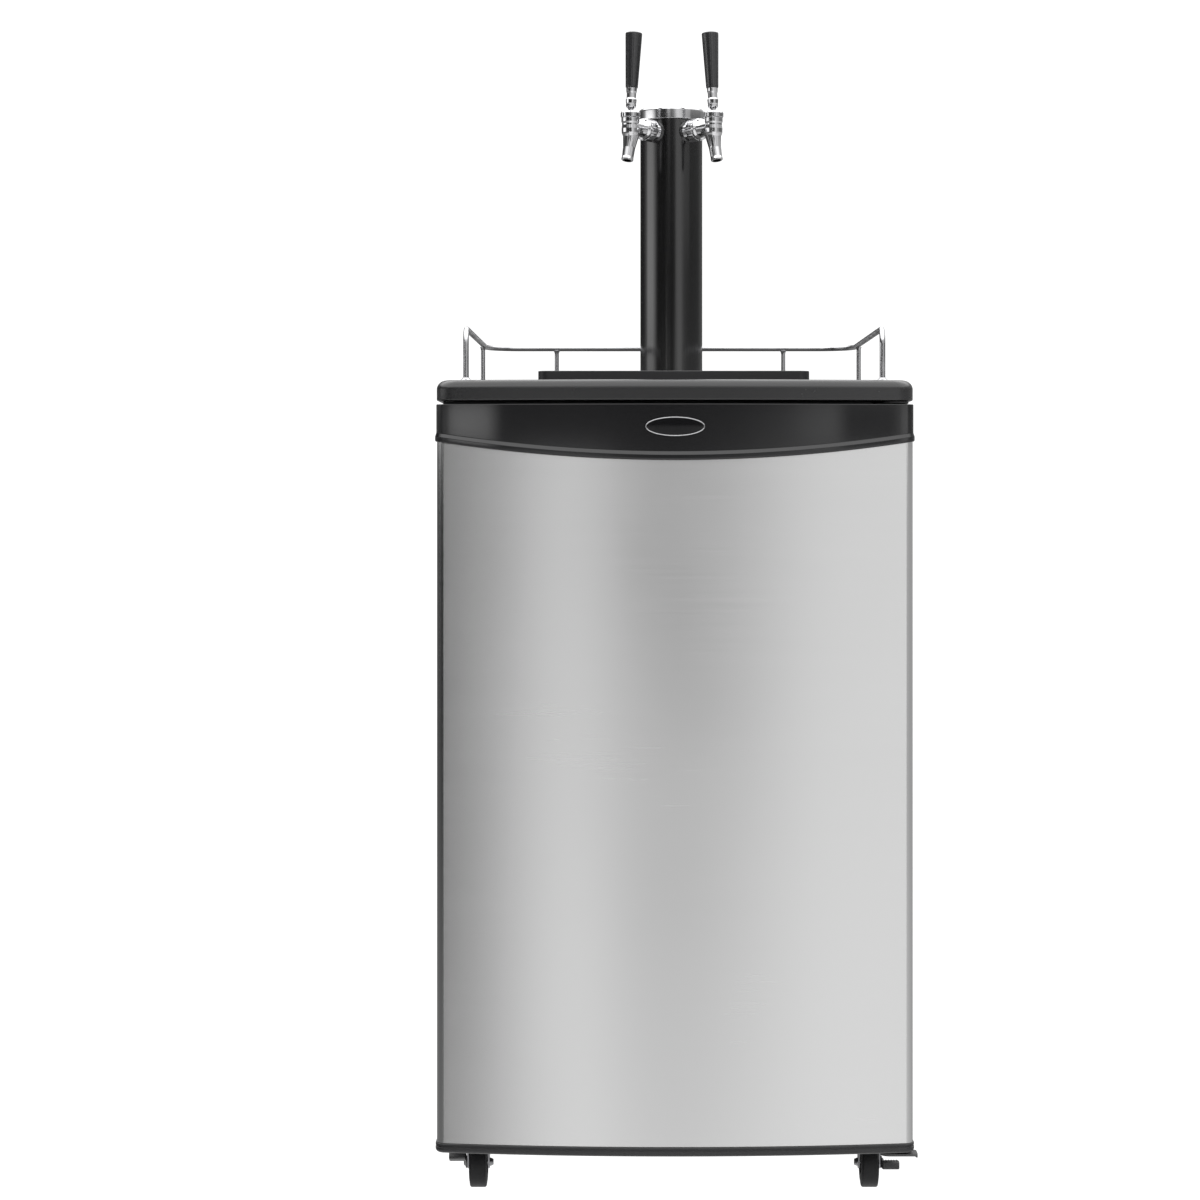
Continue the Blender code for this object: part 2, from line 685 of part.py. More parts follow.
def worktop_slab(bm):
    rows = []
    for k in range(CORNER_STEPS - 1):
        angle = math.pi / 2 * k / (CORNER_STEPS - 2)
        rows.append((TOP_FOOT_RADIUS * (1 - math.sin(angle)), TOP_BASE_Z + TOP_FOOT_RADIUS * (1 - math.cos(angle))))
    for k in range(CORNER_STEPS + 1):
        angle = math.pi / 2 * k / CORNER_STEPS
        rows.append((TOP_EDGE_RADIUS * (1 - math.cos(angle)), TOP_Z - TOP_EDGE_RADIUS * (1 - math.sin(angle))))
    loft(bm, [[(x, y, z) for x, y in worktop_outline(inset)] for inset, z in rows])


def make_worktop(finish):
    edge = TOP_RIM_INSET
    seat = BODY_TOP_Z + SEAT_GAP
    rim = drawn(block, (-HALF_WIDTH + edge, BODY_FRONT_Y + edge, seat),
                (HALF_WIDTH - edge, BODY_REAR_Y - edge, TOP_BASE_Z + TOP_LIFT))
    wall = edge + TOP_RIM_WIDTH
    pocket = drawn(block, (-HALF_WIDTH + wall, BODY_FRONT_Y + wall, BODY_TOP_Z - OVERRUN),
                   (HALF_WIDTH - wall, BODY_REAR_Y - wall, TOP_Z - TOP_SKIN))
    notch = drawn(block, (HINGE_X - HINGE_SPAN / 2 - TOP_RIM_WIDTH, BODY_FRONT_Y - OVERRUN, BODY_TOP_Z - OVERRUN),
                  (HALF_WIDTH + OVERRUN, BODY_FRONT_Y + wall + OVERRUN, TOP_BASE_Z))
    side_notch = drawn(block, (HALF_WIDTH - wall - OVERRUN, BODY_FRONT_Y - OVERRUN, BODY_TOP_Z - OVERRUN),
                       (HALF_WIDTH + OVERRUN, BODY_FRONT_Y + HINGE_SEAT_LENGTH + OVERRUN, TOP_BASE_Z))
    cuts = [pocket, notch, side_notch, drawn(line_hole, BODY_TOP_Z, TOP_Z + OVERRUN)]
    piece("worktop", carved(drawn(worktop_slab), joined=[rim], cut=cuts), finish["black_plastic"])


def rail_posts():
    places = []
    for name, side in SIDES:
        places.append((side * RAIL_HALF_WIDTH, SIDE_POST_Y))
        places.append((side * REAR_POST_X, RAIL_REAR_Y))
    return places


def make_rail(finish):
    height = DECK_Z + RAIL_HEIGHT
    corners = [
        (-RAIL_HALF_WIDTH, RAIL_FRONT_Y, DECK_Z), (-RAIL_HALF_WIDTH, RAIL_FRONT_Y, height),
        (-RAIL_HALF_WIDTH, RAIL_REAR_Y, height), (RAIL_HALF_WIDTH, RAIL_REAR_Y, height),
        (RAIL_HALF_WIDTH, RAIL_FRONT_Y, height), (RAIL_HALF_WIDTH, RAIL_FRONT_Y, DECK_Z),
    ]
    bends = (RAIL_FRONT_BEND, RAIL_CORNER, RAIL_CORNER, RAIL_FRONT_BEND)
    wire = drawn(sweep, rounded_route(corners, bends), RAIL_RADIUS, TUBE_SIDES + 2)
    welded = []
    for x, y in rail_posts():
        welded.append(drawn(rod, POST_RADIUS, (x, y, DECK_Z), (x, y, height), SMALL_SIDES))
    feet = rail_posts() + [(side * RAIL_HALF_WIDTH, RAIL_FRONT_Y) for name, side in SIDES]
    for x, y in feet:
        welded.append(drawn(rod, RAIL_FOOT_RADIUS, (x, y, DECK_Z), (x, y, DECK_Z + RAIL_FOOT_HEIGHT), SMALL_SIDES))
    piece("guard_rail", carved(wire, joined=welded), finish["chrome"])


def make_tray(finish):
    middle_y = TRAY_FRONT_Y + TRAY_DEPTH / 2
    half_x, half_y = TRAY_WIDTH / 2, TRAY_DEPTH / 2
    high = DECK_Z + TRAY_HEIGHT
    seat = high - GRATE_THICKNESS - GRATE_CLEARANCE
    well = TRAY_WALL + TRAY_LEDGE

    def field(bm, inset, low, top):
        outline = rounded_rectangle(half_x - inset, half_y - inset, TRAY_CORNER - inset, (0, middle_y))
        prism(bm, outline, low, top)

    outer = drawn(field, 0, DECK_Z, high)
    cuts = [drawn(field, TRAY_WALL, seat, high + OVERRUN), drawn(field, well, DECK_Z + TRAY_WALL, high)]
    piece("drip_tray", carved(outer, cut=cuts), finish["black_plastic"])

    grate = drawn(field, TRAY_WALL + GRATE_CLEARANCE, seat + SEAT_GAP, seat + SEAT_GAP + GRATE_THICKNESS)
    span_x = TRAY_WIDTH - 2 * (well + SLOT_MARGIN)
    span_y = (TRAY_DEPTH - 2 * well - (GRATE_ROWS + 1) * SLOT_MARGIN) / GRATE_ROWS
    slots = bmesh.new()
    for row in range(GRATE_ROWS):
        low_y = TRAY_FRONT_Y + well + SLOT_MARGIN + row * (span_y + SLOT_MARGIN)
        for k in range(GRATE_SLOTS):
            x = span_x * (k / (GRATE_SLOTS - 1) - 0.5)
            block(slots, (x - SLOT_WIDTH / 2, low_y, seat - OVERRUN),
                  (x + SLOT_WIDTH / 2, low_y + span_y, high + OVERRUN))
    piece("drip_grate", carved(grate, cut=[as_mesh(slots)]), finish["black_plastic"])


# Draught tower and taps

def make_tower(finish):
    bore = TOWER_RADIUS - TOWER_WALL
    base = DECK_Z
    profile = [
        (bore, base), (FLANGE_RADIUS, base), (FLANGE_RADIUS, TOWER_BASE_Z),
        (TOWER_RADIUS, TOWER_BASE_Z), (TOWER_RADIUS, TOWER_TOP_Z), (bore, TOWER_TOP_Z),
    ]
    standing = Matrix.Translation((0, TOWER_Y, 0))
    cuts = []
    for name, side in SIDES:
        outward = tap_direction(side)
        start = Vector((0, TOWER_Y, TAP_Z)) + outward * (bore - TOWER_WALL * 2)
        end = Vector((0, TOWER_Y, TAP_Z)) + outward * (TOWER_RADIUS + OVERRUN)
        cuts.append(drawn(rod, SHANK_RADIUS + SEAT_GAP, start, end, ROUND_SIDES))
    column = carved(drawn(turned, profile, FINE_SIDES, standing, True), cut=cuts)
    piece("tower_column", column, finish["black_gloss"])

    sleeve = [
        (SLEEVE_BORE, base), (bore - SEAT_GAP, base),
        (bore - SEAT_GAP, TOWER_TOP_Z - SLEEVE_TOP_DROP), (SLEEVE_BORE, TOWER_TOP_Z - SLEEVE_TOP_DROP),
    ]
    piece("tower_insulation", drawn(turned, sleeve, FINE_SIDES, standing, True), finish["foam"])

    cap_radius = TOWER_RADIUS + CAP_OVERHANG
    spigot = bore - SEAT_GAP
    cap = [
        (0, CAP_HEIGHT - CAP_WALL), (spigot - CAP_WALL, CAP_HEIGHT - CAP_WALL), (spigot - CAP_WALL, -CAP_SPIGOT),
        (spigot, -CAP_SPIGOT), (spigot, SEAT_GAP), (cap_radius, SEAT_GAP), (cap_radius, CAP_HEIGHT - CAP_ROUND),
    ]
    for k in range(1, CORNER_STEPS + 1):
        angle = math.pi / 2 * k / CORNER_STEPS
        cap.append((cap_radius - CAP_ROUND * (1 - math.cos(angle)),
                    CAP_HEIGHT - CAP_ROUND * (1 - math.sin(angle))))
    cap.append((0, CAP_HEIGHT))
    lid = drawn(turned, cap, FINE_SIDES)
    piece("tower_cap", lid, finish["chrome"], at=(0, TOWER_Y, TOWER_TOP_Z))


def tap_direction(side):
    return Vector((side * math.sin(TAP_ANGLE), -math.cos(TAP_ANGLE), 0))


def along(side, reach, rise=0.0):
    """A point on one tap's centre plane, reach from the tower's axis and rise above the shank."""
    return Vector((0, TOWER_Y, TAP_Z + rise)) + tap_direction(side) * reach


def make_shanks(finish):
    """Each tap's threaded shank with its inner nut and elbow, its collar and its coupling nut."""
    wall_outside = TOWER_RADIUS + SEAT_GAP
    jam_end = math.sqrt((TOWER_RADIUS - TOWER_WALL) ** 2 - JAM_NUT_RADIUS ** 2) - SEAT_GAP
    around = SHANK_RADIUS + SEAT_GAP
    for name, side in SIDES:
        shank_end = along(side, COUPLING_END - BARREL_RADIUS / 2)
        straight = drawn(rod, SHANK_RADIUS, along(side, SHANK_TAIL), shank_end)
        elbow_x = SHANK_TAIL - ELBOW_REACH
        bend = [along(side, SHANK_TAIL + OVERRUN), along(side, elbow_x), along(side, elbow_x, -ELBOW_DROP)]
        elbow = drawn(sweep, rounded_route(bend, [ELBOW_REACH * 0.8]), ELBOW_RADIUS, SMALL_SIDES)
        jam = drawn(rod, JAM_NUT_RADIUS, along(side, jam_end - JAM_NUT_LENGTH), along(side, jam_end), 6)
        bore = drawn(rod, SHANK_BORE, along(side, SHANK_TAIL + OVERRUN), along(side, COUPLING_END), SMALL_SIDES)
        piece(f"faucet_shank_{name}", carved(straight, joined=[elbow, jam], cut=[bore]), finish["chrome"])

        collar = drawn(pipe, COLLAR_RADIUS, around, along(side, TOWER_RADIUS - COLLAR_LENGTH), along(side, COLLAR_END))
        foot, head = (0, TOWER_Y, TAP_Z - TOWER_RADIUS), (0, TOWER_Y, TAP_Z + TOWER_RADIUS)
        seated = carved(collar, cut=[drawn(rod, wall_outside, foot, head, FINE_SIDES)])
        piece(f"shank_collar_{name}", seated, finish["chrome"])
        nut = drawn(pipe, COUPLING_RADIUS, around, along(side, COLLAR_END + SEAT_GAP), along(side, COUPLING_END))
        piece(f"coupling_nut_{name}", nut, finish["chrome"])


def make_taps(finish):
    start = COUPLING_END + SEAT_GAP
    for name, side in SIDES:
        barrel = drawn(rod, BARREL_RADIUS, along(side, start + BARREL_FLANGE / 2), along(side, TAP_REACH))
        flange = drawn(rod, BARREL_FLANGE_RADIUS, along(side, start), along(side, start + BARREL_FLANGE))
        riser = drawn(rod, RISER_RADIUS, along(side, TAP_REACH, -RISER_DROP), along(side, TAP_REACH, PIVOT_RISE))
        tip = along(side, TAP_REACH + SPOUT_LEAN, -SPOUT_DROP)
        root = along(side, TAP_REACH - SPOUT_LEAN / 2, 0)
        fall = tip - root
        spout_profile = [(BARREL_RADIUS, 0), (SPOUT_RADIUS, fall.length * 0.7), (SPOUT_RADIUS, fall.length)]
        spout = drawn(turned, spout_profile, ROUND_SIDES, facing(root, fall))
        bore = drawn(rod, SOCKET_RADIUS - SEAT_GAP, along(side, start - OVERRUN),
                     along(side, TAP_REACH + SOCKET_RADIUS))
        outlet = drawn(rod, SPOUT_BORE, root, tip + fall.normalized() * OVERRUN, SMALL_SIDES)
        socket = drawn(rod, SOCKET_RADIUS, along(side, TAP_REACH, 0), along(side, TAP_REACH, PIVOT_RISE + OVERRUN))
        body = carved(barrel, joined=[flange, riser, spout], cut=[bore, outlet, socket])
        piece(f"faucet_body_{name}", body, finish["chrome"])

        seat = PIVOT_RISE + SEAT_GAP
        bonnet = drawn(pipe, BONNET_RADIUS, BONNET_BORE, along(side, TAP_REACH, seat),
                       along(side, TAP_REACH, seat + BONNET_HEIGHT))
        piece(f"faucet_bonnet_{name}", bonnet, finish["chrome"])
        make_lever(name, side, finish)
        make_plunger(name, side, finish)


def make_lever(name, side, finish):
    """Lever, ferrule and handle, which lean a little towards the tower and turn about the ball."""
    joint = pivot(f"tap_pivot_{name}", along(side, TAP_REACH, PIVOT_RISE), side * TAP_ANGLE)
    lean = facing((0, 0, 0), (0, math.sin(LEVER_LEAN), math.cos(LEVER_LEAN)))
    shoulder = LEVER_RADIUS * 2
    stem = [(0, -BALL_RADIUS)]
    for k in range(1, CORNER_STEPS + 1):
        angle = math.pi * (k / (CORNER_STEPS + 1) - 0.5)
        stem.append((BALL_RADIUS * math.cos(angle), BALL_RADIUS * math.sin(angle)))
    stem = [point for point in stem if point[1] < BALL_RADIUS * 0.7]
    stem += [
        (LEVER_RADIUS, BALL_RADIUS), (LEVER_RADIUS, LEVER_HEIGHT - shoulder),
        (FERRULE_RADIUS, LEVER_HEIGHT - shoulder / 2), (FERRULE_RADIUS, LEVER_HEIGHT), (0, LEVER_HEIGHT),
    ]
    upper = drawn(turned, stem, ROUND_SIDES, lean)
    tip = drawn(rod, LEVER_TIP_RADIUS, (0, 0, -PIVOT_RISE - LEVER_TIP_RADIUS), (0, 0, 0), SMALL_SIDES)
    piece(f"tap_lever_{name}", carved(upper, joined=[tip]), finish["chrome"], joint)

    low = LEVER_HEIGHT + SEAT_GAP
    neck = FERRULE_RADIUS * 0.85
    ferrule = [
        (0, low), (FERRULE_RADIUS, low), (FERRULE_RADIUS, low + FERRULE_HEIGHT * 0.3),
        (neck, low + FERRULE_HEIGHT * 0.4), (neck, low + FERRULE_HEIGHT * 0.7),
        (FERRULE_RADIUS, low + FERRULE_HEIGHT * 0.8), (FERRULE_RADIUS, low + FERRULE_HEIGHT), (0, low + FERRULE_HEIGHT),
    ]
    piece(f"handle_ferrule_{name}", drawn(turned, ferrule, ROUND_SIDES, lean), finish["chrome"], joint)

    base = low + FERRULE_HEIGHT + SEAT_GAP
    top = base + HANDLE_HEIGHT
    grip = [(0, base), (HANDLE_BASE_RADIUS, base)]
    for k in range(CORNER_STEPS + 1):
        angle = math.pi / 2 * k / CORNER_STEPS
        grip.append((HANDLE_TOP_RADIUS - HANDLE_ROUND * (1 - math.cos(angle)), top - HANDLE_ROUND * (1 - math.sin(angle))))
    grip.append((0, top))
    piece(f"tap_handle_{name}", drawn(turned, grip, ROUND_SIDES, lean), finish["handle"], joint)


def make_plunger(name, side, finish):
    """The valve shaft, which the lever's tip pushes towards the tower."""
    front = TAP_REACH - LEVER_TIP_RADIUS - PLUNGER_GAP
    joint = pivot(f"valve_{name}", along(side, front), side * TAP_ANGLE)
    profile = [
        (0, 0), (PLUNGER_RADIUS, 0), (PLUNGER_RADIUS, PLUNGER_LENGTH * 0.8),
        (PLUNGER_WASHER_RADIUS, PLUNGER_LENGTH * 0.8), (PLUNGER_WASHER_RADIUS, PLUNGER_LENGTH), (0, PLUNGER_LENGTH),
    ]
    shaft = drawn(turned, profile, SMALL_SIDES, facing((0, 0, 0), (0, 1, 0)))
    piece(f"tap_plunger_{name}", shaft, finish["zinc"], joint)


def make_lines(finish):
    """Beer lines with their end nuts: down the tower, under the ceiling and down the rear wall to one clip."""
    ceiling = CAVITY_CEILING_Z - LINE_CEILING_GAP - LINE_RADIUS
    end_z = STEP_TOP_Z + LINE_END_RISE
    clip_z = EVAPORATOR_BASE_Z - CLIP_DROP
    elbow = SHANK_TAIL - ELBOW_REACH
    grip = LINE_RADIUS + SEAT_GAP
    channels = []
    for name, side in SIDES:
        top = along(side, elbow, -ELBOW_DROP - SEAT_GAP)
        wall_x = side * LINE_SPREAD
        corners = [
            top, (top.x, top.y, ceiling), (wall_x, LINE_Y, ceiling), (wall_x, LINE_Y, end_z),
        ]
        hose = drawn(sweep, rounded_route(corners, (LINE_BEND, LINE_BEND), CORNER_STEPS + 1), LINE_RADIUS)
        nut = drawn(rod, LINE_NUT_RADIUS, (wall_x, LINE_Y - LINE_NUT_SHIFT, end_z),
                    (wall_x, LINE_Y - LINE_NUT_SHIFT, end_z + LINE_NUT_HEIGHT), 6)
        piece(f"beer_line_{name}", carved(hose, joined=[nut]), finish["hose"])
        channels.append(drawn(rod, grip, (wall_x, LINE_Y, clip_z - CLIP_HEIGHT), (wall_x, LINE_Y, clip_z + CLIP_HEIGHT)))
        channels.append(drawn(block, (wall_x - grip * 0.8, LINE_Y - CLIP_DEPTH, clip_z - CLIP_HEIGHT),
                              (wall_x + grip * 0.8, LINE_Y, clip_z + CLIP_HEIGHT)))
    rear = CAVITY_REAR_Y - SEAT_GAP
    half = LINE_SPREAD + CLIP_WIDTH / 2
    bar = drawn(block, (-half, rear - CLIP_DEPTH, clip_z - CLIP_HEIGHT / 2), (half, rear, clip_z + CLIP_HEIGHT / 2))
    piece("line_clip", carved(bar, cut=channels), finish["white_plastic"])


# Door

def strip_edge(x):
    """Height of the black strip's lower edge, a shallow smile across the door."""
    share = x / DOOR_HALF
    return DOOR_TOP_Z - STRIP_SIDE_HEIGHT - STRIP_SAG * (1 - share * share)


def door_stations():
    """Stations round the door from its left rear to the hinge on its right."""
    front = bowed_front(DOOR_HALF, DOOR_SIDE_Y, DOOR_BOW, DOOR_EDGE_RADIUS)
    left = (Vector((-DOOR_HALF, DOOR_REAR_Y - DOOR_LINER_THICKNESS - SEAT_GAP)), Vector((-1, 0)))
    right = (Vector((DOOR_HALF, HINGE_Y)), Vector((1, 0)))
    return [left] + front + [right]


def door_outline(offset, rear_y):
    """The door's plan, its hinge-side rear corner rounded about the hinge."""
    outline = [tuple(point + outward * offset) for point, outward in door_stations()]
    outline[0] = (outline[0][0], rear_y)
    reach_x = DOOR_HALF + offset - HINGE_X
    for k in range(1, CORNER_STEPS + 2):
        angle = math.pi / 2 * k / (CORNER_STEPS + 1)
        outline.append((HINGE_X + reach_x * math.cos(angle), HINGE_Y + (rear_y - HINGE_Y) * math.sin(angle)))
    return outline


def door_wall(bm, section):
    """A wall round the door's front and sides; section gives (offset, height) points at a station's x."""
    rings = []
    for point, outward in door_stations():
        ring = []
        for offset, height in section(point.x):
            place = point + outward * offset
            ring.append((place.x, place.y, height))
        rings.append(ring)
    loft(bm, rings)


def strip_section(x):
    low = strip_edge(x)
    edge = LIP_EDGE
    return [
        (-SKIN_THICKNESS, low), (LIP_PROUD - edge, low), (LIP_PROUD, low + edge),
        (LIP_PROUD, low + LIP_HEIGHT - edge), (STRIP_PROUD, low + LIP_HEIGHT),
        (STRIP_PROUD, DOOR_TOP_Z - edge), (-SKIN_THICKNESS, DOOR_TOP_Z),
    ]


def skin_section(x):
    low = DOOR_BASE_Z + TRIM_HEIGHT + SEAT_GAP
    high = strip_edge(x) - SEAT_GAP
    return [(-SKIN_THICKNESS, low), (0, low), (0, high), (-SKIN_THICKNESS, high)]


def pin_hole(bm, low, high):
    rod(bm, PIN_RADIUS + RUNNING_GAP, (HINGE_X, HINGE_Y, low), (HINGE_X, HINGE_Y, high))


def make_door(finish):
    core_rear = DOOR_REAR_Y - DOOR_LINER_THICKNESS - SEAT_GAP
    cap_base = DOOR_TOP_Z - STRIP_CAP
    core_low = DOOR_BASE_Z + TRIM_HEIGHT + SEAT_GAP
    core_high = cap_base - SEAT_GAP
    inset = -SKIN_THICKNESS - SEAT_GAP
    lower_hole = (DOOR_BASE_Z - OVERRUN, DOOR_BASE_Z + PIN_REACH)
    upper_hole = (DOOR_TOP_Z - PIN_REACH, DOOR_TOP_Z + OVERRUN)

    core = drawn(prism, door_outline(inset, core_rear), core_low, core_high)
    cuts = [drawn(pin_hole, *lower_hole), drawn(pin_hole, *upper_hole)]
    hinge = pivot("door_hinge", (HINGE_X, HINGE_Y, DOOR_BASE_Z))
    back = (-HINGE_X, -HINGE_Y, -DOOR_BASE_Z)
    piece("door_core", carved(core, cut=cuts), finish["black_plastic"], hinge, back)

    piece("door_skin", drawn(door_wall, skin_section), finish["stainless"], hinge, back)

    lid = drawn(prism, door_outline(inset / 2, core_rear), cap_base, DOOR_TOP_Z)
    strip = carved(drawn(door_wall, strip_section), joined=[lid], cut=[drawn(pin_hole, *upper_hole)])
    piece("door_fascia", strip, finish["black_gloss"], hinge, back)

    rows = [(TRIM_PROUD - TRIM_BEVEL, 0), (TRIM_PROUD, TRIM_BEVEL), (TRIM_PROUD, TRIM_HEIGHT)]
    rings = []
    for offset, rise in rows:
        outline = door_outline(offset, DOOR_REAR_Y)
        rings.append([(x, y, DOOR_BASE_Z + rise) for x, y in outline])
    trim = carved(drawn(loft, rings), cut=[drawn(pin_hole, *lower_hole)])
    piece("door_bottom_trim", trim, finish["black_plastic"], hinge, back)

    flat = rounded_rectangle(PLATE_WIDTH / 2, PLATE_HEIGHT / 2, PLATE_HEIGHT / 2.4)
    front = DOOR_FRONT_Y - STRIP_PROUD - SEAT_GAP
    middle = DOOR_TOP_Z - PLATE_DROP
    rings = [[(x, y, z + middle) for x, z in flat] for y in (front, front - PLATE_THICKNESS)]
    piece("blank_plate", drawn(loft, rings), finish["chrome"], hinge, back)

    liner_low = core_low + GASKET_MARGIN
    liner_high = core_high - GASKET_MARGIN / 2
    field_half = CAVITY_HALF - DOOR_FIELD_MARGIN
    face = DOOR_REAR_Y
    sheet = drawn(block, (-HINGE_X, face - DOOR_LINER_THICKNESS, liner_low), (HINGE_X - SEAT_GAP, face, liner_high))
    field = drawn(block, (-field_half, face - DOOR_LINER_THICKNESS / 2, CAVITY_FLOOR_Z + DOOR_FIELD_MARGIN),
                  (field_half, face + DOOR_GAP + DOOR_FIELD_HEIGHT, CAVITY_CEILING_Z - DOOR_FIELD_MARGIN))
    piece("door_liner", carved(sheet, joined=[field]), finish["white_plastic"], hinge, back)

    outer_half = HINGE_X - HINGE_SHEET
    wide = GASKET_WIDTH
    ring_low, ring_high = liner_low + SEAT_GAP, liner_high - SEAT_GAP
    rings = []
    for shrink, y in ((0, face + SEAT_GAP), (0, BODY_FRONT_Y - SEAT_GAP), (wide, BODY_FRONT_Y - SEAT_GAP),
                      (wide, face + SEAT_GAP)):
        half = outer_half - shrink
        low, high = ring_low + shrink, ring_high - shrink
        rings.append([(-half, y, low), (half, y, low), (half, y, high), (-half, y, high)])
    gasket = bmesh.new()
    loft(gasket, rings, closed=True)
    piece("door_gasket", as_mesh(gasket), finish["grey_rubber"], hinge, back)


def make_hinges(finish):
    """Upper and lower hinge brackets on the body, each with the riveted pin that the door turns on."""
    left = HINGE_X - HINGE_SPAN / 2
    right = HALF_WIDTH - TOP_RIM_INSET
    front = BODY_FRONT_Y - HINGE_REACH
    seat = BODY_TOP_Z + SEAT_GAP
    rear = BODY_FRONT_Y + HINGE_SEAT_LENGTH
    upper = drawn(block, (left, front, seat), (right, rear, seat + HINGE_SHEET))
    pin_low = DOOR_TOP_Z - PIN_REACH + RUNNING_GAP
    upper_pin = drawn(rod, PIN_RADIUS, (HINGE_X, HINGE_Y, pin_low), (HINGE_X, HINGE_Y, seat + HINGE_SHEET / 2))
    piece("hinge_bracket_upper", carved(upper, joined=[upper_pin]), finish["black_paint"])

    low_top = DOOR_BASE_Z - HINGE_DROP + SEAT_GAP
    low_base = low_top - HINGE_SHEET
    leg_rear = BODY_FRONT_Y - SEAT_GAP
    lower = drawn(block, (left, front, low_base), (HALF_WIDTH + HINGE_HOOK, leg_rear, low_top))
    leg = drawn(block, (left, leg_rear - HINGE_SHEET, low_base), (right, leg_rear, low_base + HINGE_LEG))
    pin_high = DOOR_BASE_Z + PIN_REACH - RUNNING_GAP
    lower_pin = drawn(rod, PIN_RADIUS, (HINGE_X, HINGE_Y, low_base + HINGE_SHEET / 2), (HINGE_X, HINGE_Y, pin_high))
    washer = drawn(rod, PIN_WASHER_RADIUS, (HINGE_X, HINGE_Y, low_base + HINGE_SHEET / 2),
                   (HINGE_X, HINGE_Y, DOOR_BASE_Z - SEAT_GAP))
    piece("hinge_bracket_lower", carved(lower, joined=[leg, lower_pin, washer]), finish["black_paint"])


# Cooling machinery

def make_compressor(finish):
    floor = BODY_BASE_Z + BASE_SHEET + SEAT_GAP
    middle_y = MACHINE_FACE_Y + COMPRESSOR_REAR_GAP + COMPRESSOR_DEPTH / 2
    foot_z = floor + MOUNT_HEIGHT
    half_x, half_y = COMPRESSOR_WIDTH / 2, COMPRESSOR_DEPTH / 2
    rise = COMPRESSOR_HEIGHT
    dome_shares = ((0.86, 0.0), (0.97, 0.10), (1.0, 0.25), (1.0, 0.55), (0.97, 0.72), (0.84, 0.88), (0.55, 0.97))
    rings = []
    for width_share, height_share in dome_shares:
        z = foot_z + FOOT_PLATE_THICKNESS / 2 + rise * height_share
        outline = circle(width_share, ROUND_SIDES)
        rings.append([(COMPRESSOR_X + x * half_x, middle_y + y * half_y, z) for x, y in outline])
    rings.append([(COMPRESSOR_X, middle_y, foot_z + FOOT_PLATE_THICKNESS / 2 + rise)])
    pot = drawn(loft, rings)
    foot = drawn(prism, rounded_rectangle(FOOT_PLATE_WIDTH / 2, half_y, MOUNT_RADIUS, (COMPRESSOR_X, middle_y)),
                 foot_z, foot_z + FOOT_PLATE_THICKNESS)
    feet = []
    for sign_x in (-1, 1):
        for sign_y in (-1, 1):
            x = COMPRESSOR_X + sign_x * (FOOT_PLATE_WIDTH / 2 - MOUNT_MARGIN)
            y = middle_y + sign_y * (half_y - MOUNT_MARGIN)
            feet.append(drawn(rod, MOUNT_RADIUS, (x, y, floor), (x, y, foot_z + FOOT_PLATE_THICKNESS / 2), SMALL_SIDES))
    piece("compressor", carved(pot, joined=[foot] + feet), finish["black_paint"])

    pan_z = foot_z + FOOT_PLATE_THICKNESS / 2 + rise + SEAT_GAP

    def field(bm, inset, low, high):
        outline = rounded_rectangle(PAN_WIDTH / 2 - inset, PAN_DEPTH / 2 - inset, PAN_HEIGHT / 2, (COMPRESSOR_X, middle_y))
        prism(bm, outline, low, high)

    pan = drawn(field, 0, pan_z, pan_z + PAN_HEIGHT)
    hollow = drawn(field, PAN_WALL, pan_z + PAN_WALL, pan_z + PAN_HEIGHT + OVERRUN)
    piece("drain_pan", carved(pan, cut=[hollow]), finish["black_plastic"])


def make_condenser(finish):
    """Serpentine tube with cross wires on brackets behind the rear panel."""
    y = BODY_REAR_Y + CONDENSER_STANDOFF
    half = CONDENSER_WIDTH / 2
    bend = CONDENSER_PITCH / 2
    route = []
    for run in range(CONDENSER_RUNS):
        z = CONDENSER_BASE_Z + run * CONDENSER_PITCH
        side = 1 if run % 2 == 0 else -1
        route.append(Vector((-side * (half - bend), y, z)))
        route.append(Vector((side * (half - bend), y, z)))
        if run < CONDENSER_RUNS - 1:
            for k in range(1, CORNER_STEPS + 1):
                angle = math.pi * k / (CORNER_STEPS + 1)
                route.append(Vector((side * (half - bend + bend * math.sin(angle)), y, z + bend * (1 - math.cos(angle)))))
    tube = drawn(sweep, route, CONDENSER_TUBE_RADIUS, SMALL_SIDES - 2)
    span = (CONDENSER_RUNS - 1) * CONDENSER_PITCH
    low, high = CONDENSER_BASE_Z - bend / 2, CONDENSER_BASE_Z + span + bend / 2
    wire_y = y + CONDENSER_TUBE_RADIUS - WIRE_SIZE / 2
    reach = CONDENSER_WIDTH - 4 * bend
    welded = []
    for k in range(WIRE_COUNT):
        x = reach * (k / (WIRE_COUNT - 1) - 0.5)
        welded.append(drawn(block, (x - WIRE_SIZE / 2, wire_y, low), (x + WIRE_SIZE / 2, wire_y + WIRE_SIZE, high)))
    for side in (-1, 1):
        for z in (CONDENSER_BASE_Z, CONDENSER_BASE_Z + span):
            x = side * (half - 2 * bend)
            welded.append(drawn(block, (x - BRACKET_WIDTH / 2, BODY_REAR_Y + SEAT_GAP, z - BRACKET_HEIGHT / 2),
                                (x + BRACKET_WIDTH / 2, y, z + BRACKET_HEIGHT / 2)))
    piece("condenser", carved(tube, joined=welded), finish["black_paint"])


